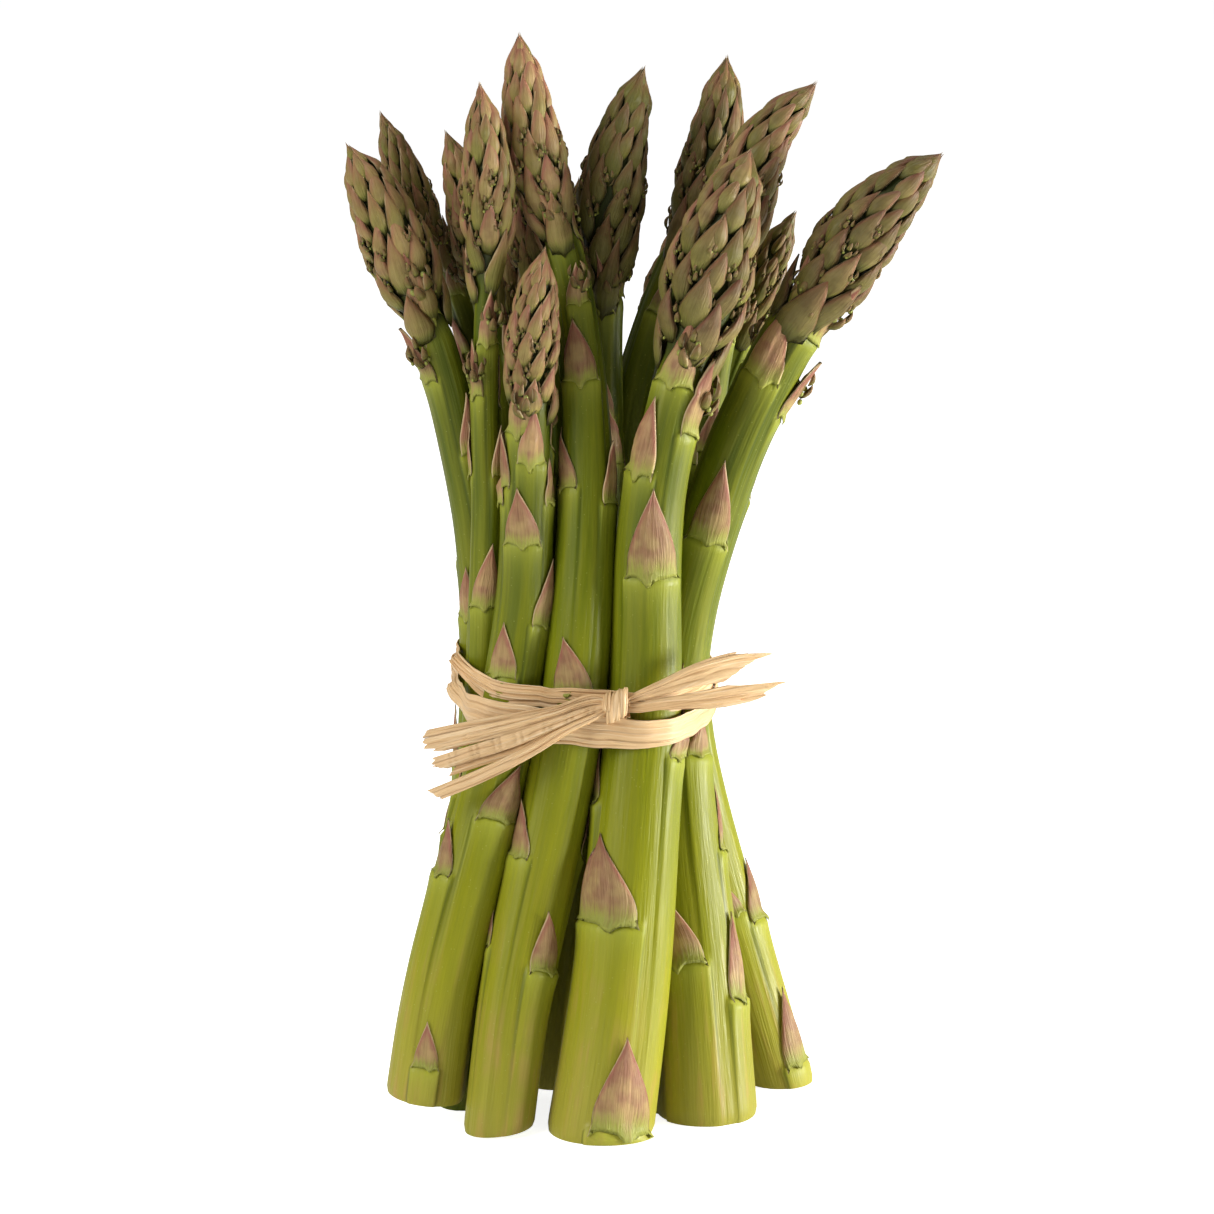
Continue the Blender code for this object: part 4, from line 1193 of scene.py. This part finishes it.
def strip(
        line, out, width, fold_height, fold_count, seed, tone,
        ends=None, offset=0.0, wrinkle=0.0, ring=False):
    """A strip along a line, facing out.

    A point is the line's, plus a share of the width sideways, plus the folds outwards. Ends gives, across
    the width, how much of the line each fibre follows. A ring's line runs back into its own start.
    """
    count = len(line)
    s = np.linspace(-1.0, 1.0, STRIP_COLUMNS)[None]
    share = np.linspace(0.0, 1.0, count, endpoint=not ring)[:, None]
    follows = share if ends is None else share * ends[None]
    at = follows * (count - 1 if not ring else count)
    if ring:
        ahead = unit(np.roll(line, -1, axis=0) - np.roll(line, 1, axis=0))
    else:
        ahead = unit(np.gradient(line, axis=0))
    out = unit(out - (out * ahead).sum(axis=-1, keepdims=True) * ahead)
    aside = np.cross(ahead, out)

    def carried(values):
        """A value of the line at the place along it that each point of the strip follows."""
        values = np.asarray(values, float)
        if ring:
            return values[:, None] + 0.0 * s[..., None] if values.ndim == 2 else values[:, None] + 0.0 * s
        low = np.clip(np.floor(at).astype(int), 0, count - 2)
        rest = at - low
        rest = rest[..., None] if values.ndim == 2 else rest
        return values[low] * (1.0 - rest) + values[low + 1] * rest

    width = np.broadcast_to(np.asarray(width, float), (count,))
    offset = np.broadcast_to(np.asarray(offset, float), (count,))
    ridge = folds(s, follows, fold_count, seed)
    run = follows * np.linalg.norm(np.diff(line, axis=0), axis=1).sum()
    rough = wrinkle * np.sin(2.9 * run + 2.0 * np.sin(1.3 * run) + 0.8 * s) * np.sin(np.pi * follows) ** 0.5
    thick = 0.5 * STRIP_THICKNESS * (1.0 - s**6)
    sideways = carried(offset) + 0.5 * carried(width) * s
    middle = carried(line) + carried(aside) * sideways[..., None]
    faces = [
        middle + carried(out) * (fold_height * (ridge - 0.5) + rough + way * thick)[..., None]
        for way in (1.0, -1.0)]
    notes = np.stack([follows + 0.0 * s, ridge, tone + 0.0 * ridge, 0.0 * ridge], axis=-1)
    grain = np.stack([sideways, 31.0 * seed + 0.0 * sideways, run + 0.0 * sideways], axis=-1)
    if ring:
        back = slice(STRIP_COLUMNS - 2, 0, -1)
        points, notes, grain = (
            np.concatenate([front, rear[:, back]], axis=1)
            for front, rear in ((faces[0], faces[1]), (notes, notes), (grain, grain)))
        quads = grid_quads(*points.shape[:2], closed=True, ring=True)
        return patch(points, quads, notes, grain, "raffia palm")
    inner = (slice(1, -1), slice(1, -1))
    points, notes, grain = (
        np.concatenate([front.reshape(-1, front.shape[-1]), rear[inner].reshape(-1, rear.shape[-1])])
        for front, rear in ((faces[0], faces[1]), (notes, notes), (grain, grain)))
    return patch(points, leaf_quads(count, STRIP_COLUMNS)[0], notes, grain, "raffia palm")


# %% [markdown]
# ### The two turns of the tie
#
# The strips go round the waist twice. Each turn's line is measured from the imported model: the middle of
# the plain strip, by its direction from the middle of the waist. The upper turn is a bunch of three
# narrow strips, the lower one a wide strip with a narrow one under its edge. At the far left both turn
# over and stand a little off the stems.

# %% Wind the strips round the stems
WRAP_ROWS = 200
TURNOVER = 196.0  # where the strips turn over, in degrees round from the right
GATHERED = 236.0  # where the two turns lie close together, before the knot
# Each strip: how far below the middle it runs, its width, how far out it lies, its folds' height and
# number, and its shade.
WRAP_STRIPS = {
    "raffia_wrap_upper": [
        (-1.3, 1.7, 0.15, 0.45, 1.6, 0.2), (-0.1, 2.0, 0.35, 0.5, 2.2, 0.5),
        (1.2, 1.8, 0.1, 0.45, 1.7, 0.1)],
    "raffia_wrap_lower": [
        (-0.4, 4.6, 0.25, 0.45, 2.6, 0.15), (2.1, 2.0, 0.0, 0.4, 1.8, 0.0)],
}


def ring_line(node):
    """The line of a turn: radius and height of the plain strip's points, by direction from its middle."""
    corners = triangles_of(node).reshape(-1, 3)
    middle = 0.5 * (corners.min(axis=0) + corners.max(axis=0))
    away = corners - middle
    angle = np.arctan2(away[:, 1], away[:, 0])
    steps = np.linspace(-np.pi, np.pi, 72, endpoint=False)
    near = np.exp(-((wrapped(steps[:, None] - angle[None]) / 0.06) ** 2))
    near = near / near.sum(axis=1, keepdims=True)
    radius = near @ np.hypot(away[:, 0], away[:, 1])
    height = near @ corners[:, 2]
    azimuth = np.linspace(-np.pi, np.pi, WRAP_ROWS, endpoint=False)
    radius = np.interp(azimuth, steps, radius, period=2 * np.pi)
    height = np.interp(azimuth, steps, height, period=2 * np.pi)
    return middle, azimuth, radius, height


def make_wrap(node):
    """One turn of the tie: its strips side by side along the turn's line, turned over at the far left."""
    middle, azimuth, radius, height = ring_line(node)
    outward = np.stack([np.cos(azimuth), np.sin(azimuth), 0.0 * azimuth], axis=1)
    turnover = np.exp(-((wrapped(azimuth - np.radians(TURNOVER)) / 0.13) ** 2))
    patches = []
    for index, (below, width, out, height_of_fold, fold_count, tone) in enumerate(WRAP_STRIPS[node]):
        wander = 0.35 * np.sin(3 * azimuth + 2.1 * index + below) + 0.2 * np.sin(7 * azimuth + index)
        reach = radius + out + (0.9 + 0.5 * index) * turnover + 0.15 * np.sin(9 * azimuth + index)
        line = middle * (1, 1, 0) + outward * reach[:, None]
        line[:, 2] = height - below * (1.0 - 0.6 * turnover) + wander + 1.6 * turnover
        facing = outward + np.array([0.0, 0.0, 1.1]) * turnover[:, None]
        gathered = np.exp(-((wrapped(azimuth - np.radians(GATHERED)) / 0.42) ** 2))
        lower = float(node.endswith("lower"))
        line[:, 2] += (1.3 * lower - 0.4) * gathered
        narrow = width * (1.0 - 0.3 * turnover) * (1.0 + 0.4 * gathered)
        patches.append(strip(
            line, facing, narrow, height_of_fold, fold_count,
            11 + index + len(node) * 3 + int(width * 10), tone, ring=True))
    make_piece(node.replace("raffia", "tie"), patches, ["raffia palm"], [node])


for node in WRAP_STRIPS:
    make_wrap(node)

# %% [markdown]
# ### The free ends
#
# Six ends come out of the knot, four to the left and two to the right. They are stiff enough to stand
# free. Their routes are those of the imported model, from the knot to the tip. Each one spreads as it
# leaves the knot, and ends where it was torn: some fibres are longer than others.

# %% The free ends
KNOT_CENTRE = (3.6, -28.6, 84.3)
TAIL_ROWS = 90
# Each end: its route, its width, and its strips. A strip has its place across the end at the knot and
# at the tip, its width at both, how far in front it lies, its folds' height and number, its wrinkles,
# its shade, and the share of the line that its fibres follow, as pairs of place across and share.
TAILS = {
    "raffia_tail_left_1": {
        "route": ((0.8, -27.6, 85.8), (-8.3, -28.0, 83.7), (-15.4, -28.0, 82.3), (-24.8, -27.2, 80.3),
                  (-34.6, -25.4, 77.8)),
        "width": 1.3,
        "strips": [(0.0, -0.1, 0.8, 1.5, 0.0, 0.25, 1.2, 0.0, 0.3, ((-1, 1.0), (0, 0.985), (1, 0.96)))],
    },
    "raffia_tail_left_2": {
        "route": ((0.8, -28.3, 84.8), (-8.3, -28.9, 82.4), (-15.4, -29.0, 80.4), (-24.8, -28.2, 77.9),
                  (-34.0, -26.2, 75.1)),
        "width": 2.7,
        "strips": [
            (0.0, 0.3, 1.3, 3.3, 0.0, 0.45, 2.2, 0.05, 0.1,
             ((-1, 0.9), (-0.7, 0.96), (-0.5, 0.94), (-0.2, 1.0), (0.3, 0.985), (0.5, 1.0), (1, 0.99))),
            (0.5, 0.4, 0.7, 0.9, 0.3, 0.2, 1.0, 0.0, 0.4, ((-1, 0.8), (1, 0.77)))],
    },
    "raffia_tail_left_3": {
        "route": ((0.8, -29.0, 84.0), (-8.3, -29.8, 81.0), (-15.4, -30.0, 78.2), (-24.8, -29.4, 75.0),
                  (-32.4, -27.9, 72.1)),
        "width": 3.1,
        "strips": [
            (0.0, 0.0, 1.5, 2.9, 0.0, 0.4, 1.6, 0.2, 0.2,
             ((-1, 0.93), (-0.6, 0.96), (-0.3, 0.99), (0.2, 1.0), (0.6, 0.98), (1, 0.985))),
            (-0.4, -2.2, 0.9, 1.9, -0.7, 0.3, 1.4, 0.0, 0.9, ((-1, 0.94), (0, 0.9), (1, 0.87)))],
    },
    "raffia_tail_left_4": {
        "route": ((0.8, -29.7, 83.0), (-5.2, -30.6, 80.4), (-12.3, -31.3, 76.3), (-22.8, -31.3, 71.0),
                  (-32.8, -30.0, 66.4)),
        "width": 2.8,
        "strips": [(0.0, 0.0, 1.3, 2.7, 0.0, 0.5, 1.9, 0.0, 0.25, ((-1, 0.95), (0.3, 0.985), (1, 1.0)))],
    },
    "raffia_tail_right_1": {
        "route": ((6.4, -28.2, 85.6), (12.1, -28.4, 88.4), (19.8, -27.4, 91.8), (26.7, -25.4, 93.3),
                  (34.5, -22.6, 93.3)),
        "width": 4.4,
        "strips": [
            (0.0, 1.7, 1.6, 5.4, 0.0, 0.5, 2.6, 0.04, 0.15,
             ((-1, 0.77), (-0.88, 0.79), (-0.84, 0.75), (-0.78, 0.94), (-0.66, 1.0), (-0.55, 0.97),
              (-0.35, 0.9), (-0.1, 0.86), (0.2, 0.8), (0.6, 0.73), (1, 0.65))),
            (-0.5, 0.2, 0.7, 1.4, 0.3, 0.25, 1.2, 0.0, 0.45, ((-1, 0.84), (0.2, 0.9), (1, 0.8)))],
    },
    "raffia_tail_right_2": {
        "route": ((6.4, -29.0, 84.1), (12.1, -29.3, 84.9), (19.8, -28.6, 85.6), (27.6, -26.6, 86.4),
                  (37.4, -23.2, 87.3)),
        "width": 4.2,
        "strips": [
            (0.0, 0.2, 1.5, 4.4, 0.0, 0.5, 2.4, 0.04, 0.1,
             ((-1, 0.64), (-0.75, 0.72), (-0.5, 0.94), (-0.35, 1.0), (-0.2, 0.93), (0.1, 0.88), (0.3, 0.84),
              (0.5, 0.86), (0.8, 0.78), (1, 0.6))),
            (0.7, 0.9, 0.6, 1.5, 0.25, 0.25, 1.3, 0.0, 0.5, ((-1, 0.78), (0.3, 0.7), (1, 0.72)))],
    },
}
low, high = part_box("raffia_knot")
knot_place = 0.5 * (np.array(low) + np.array(high)) / MM
tail_shift = knot_place - np.array(KNOT_CENTRE)


def make_tail(name):
    """A free end: its strips fan out from the knot, and its fibres end raggedly."""
    tail = TAILS[name]
    route = np.vstack([KNOT_CENTRE, tail["route"]]) + tail_shift
    line = smooth_route(route, TAIL_ROWS)
    share = np.linspace(0.0, 1.0, TAIL_ROWS)
    facing = np.array([0.0, -1.0, 0.25]) + np.zeros((TAIL_ROWS, 3))
    luck = np.random.default_rng(len(name) + int(10 * tail["width"]))
    patches = []
    for start, end, narrow, wide, front, fold_height, fold_count, wrinkle, tone, torn in tail["strips"]:
        spread_out = smooth_step(0.0, 0.75, share)
        lines = line + np.array([0.0, -1.0, 0.0]) * front * smooth_step(0.0, 0.2, share)[:, None]
        places, follows = np.array(torn).T
        ends = np.interp(np.linspace(-1, 1, STRIP_COLUMNS), places, follows)
        ends = ends - np.abs(luck.normal(0.0, 0.008, STRIP_COLUMNS))
        patches.append(strip(
            lines, facing, narrow + (wide - narrow) * spread_out, fold_height, fold_count,
            int(luck.integers(1, 900)), tone, ends=ends, offset=start + (end - start) * spread_out,
            wrinkle=wrinkle))
    piece = make_piece(name.replace("raffia", "tie"), patches, ["raffia palm"], [name])


for name in TAILS:
    make_tail(name)

# %% [markdown]
# ### The knot
#
# Where the ends come together, one strip is wound round all of them and pulled tight: nearly three turns
# that slant to one side. It is the same folded strip, along a helix round the ends' own direction.

# %% The knot
KNOT_TURNS = 2.8
KNOT_PITCH = 1.45  # how far each turn moves along, in millimetres
KNOT_HEIGHT = 2.6  # half the knot's height, and half its depth
KNOT_DEPTH = 1.95
knot_axis = unit(np.array([1.0, 0.0, 0.32]))
knot_up = unit(np.array([-0.32, 0.0, 1.0]))
knot_front = np.array([0.0, -1.0, 0.0])
angle = np.linspace(0.0, 2 * np.pi * KNOT_TURNS, 150)
slide = (angle / (2 * np.pi) - 0.5 * KNOT_TURNS) * KNOT_PITCH
swell = 1.0 + 0.1 * np.sin(0.5 * angle)
outward = knot_front * np.cos(angle)[:, None] + knot_up * np.sin(angle)[:, None]
wound = (
    knot_place + knot_axis * (slide + 0.75 * np.sin(angle))[:, None]
    + knot_front * (KNOT_DEPTH * swell * np.cos(angle))[:, None]
    + knot_up * (KNOT_HEIGHT * swell * np.sin(angle))[:, None])
knot_width = 2.9 * np.sin(np.pi * np.clip(angle / angle[-1], 0.06, 0.94)) ** 0.35
turns = strip(wound, outward, knot_width, 0.45, 2.0, 77, 0.15)
start = knot_place - knot_axis * 2.6
ends_together = strip(
    start + knot_axis * np.linspace(0.0, 5.2, 24)[:, None], np.tile(knot_front, (24, 1)),
    3.4 * np.ones(24), 1.2, 1.5, 78, 0.5)
make_piece("tie_knot", [turns, ends_together], ["raffia palm"], ["raffia_knot"])
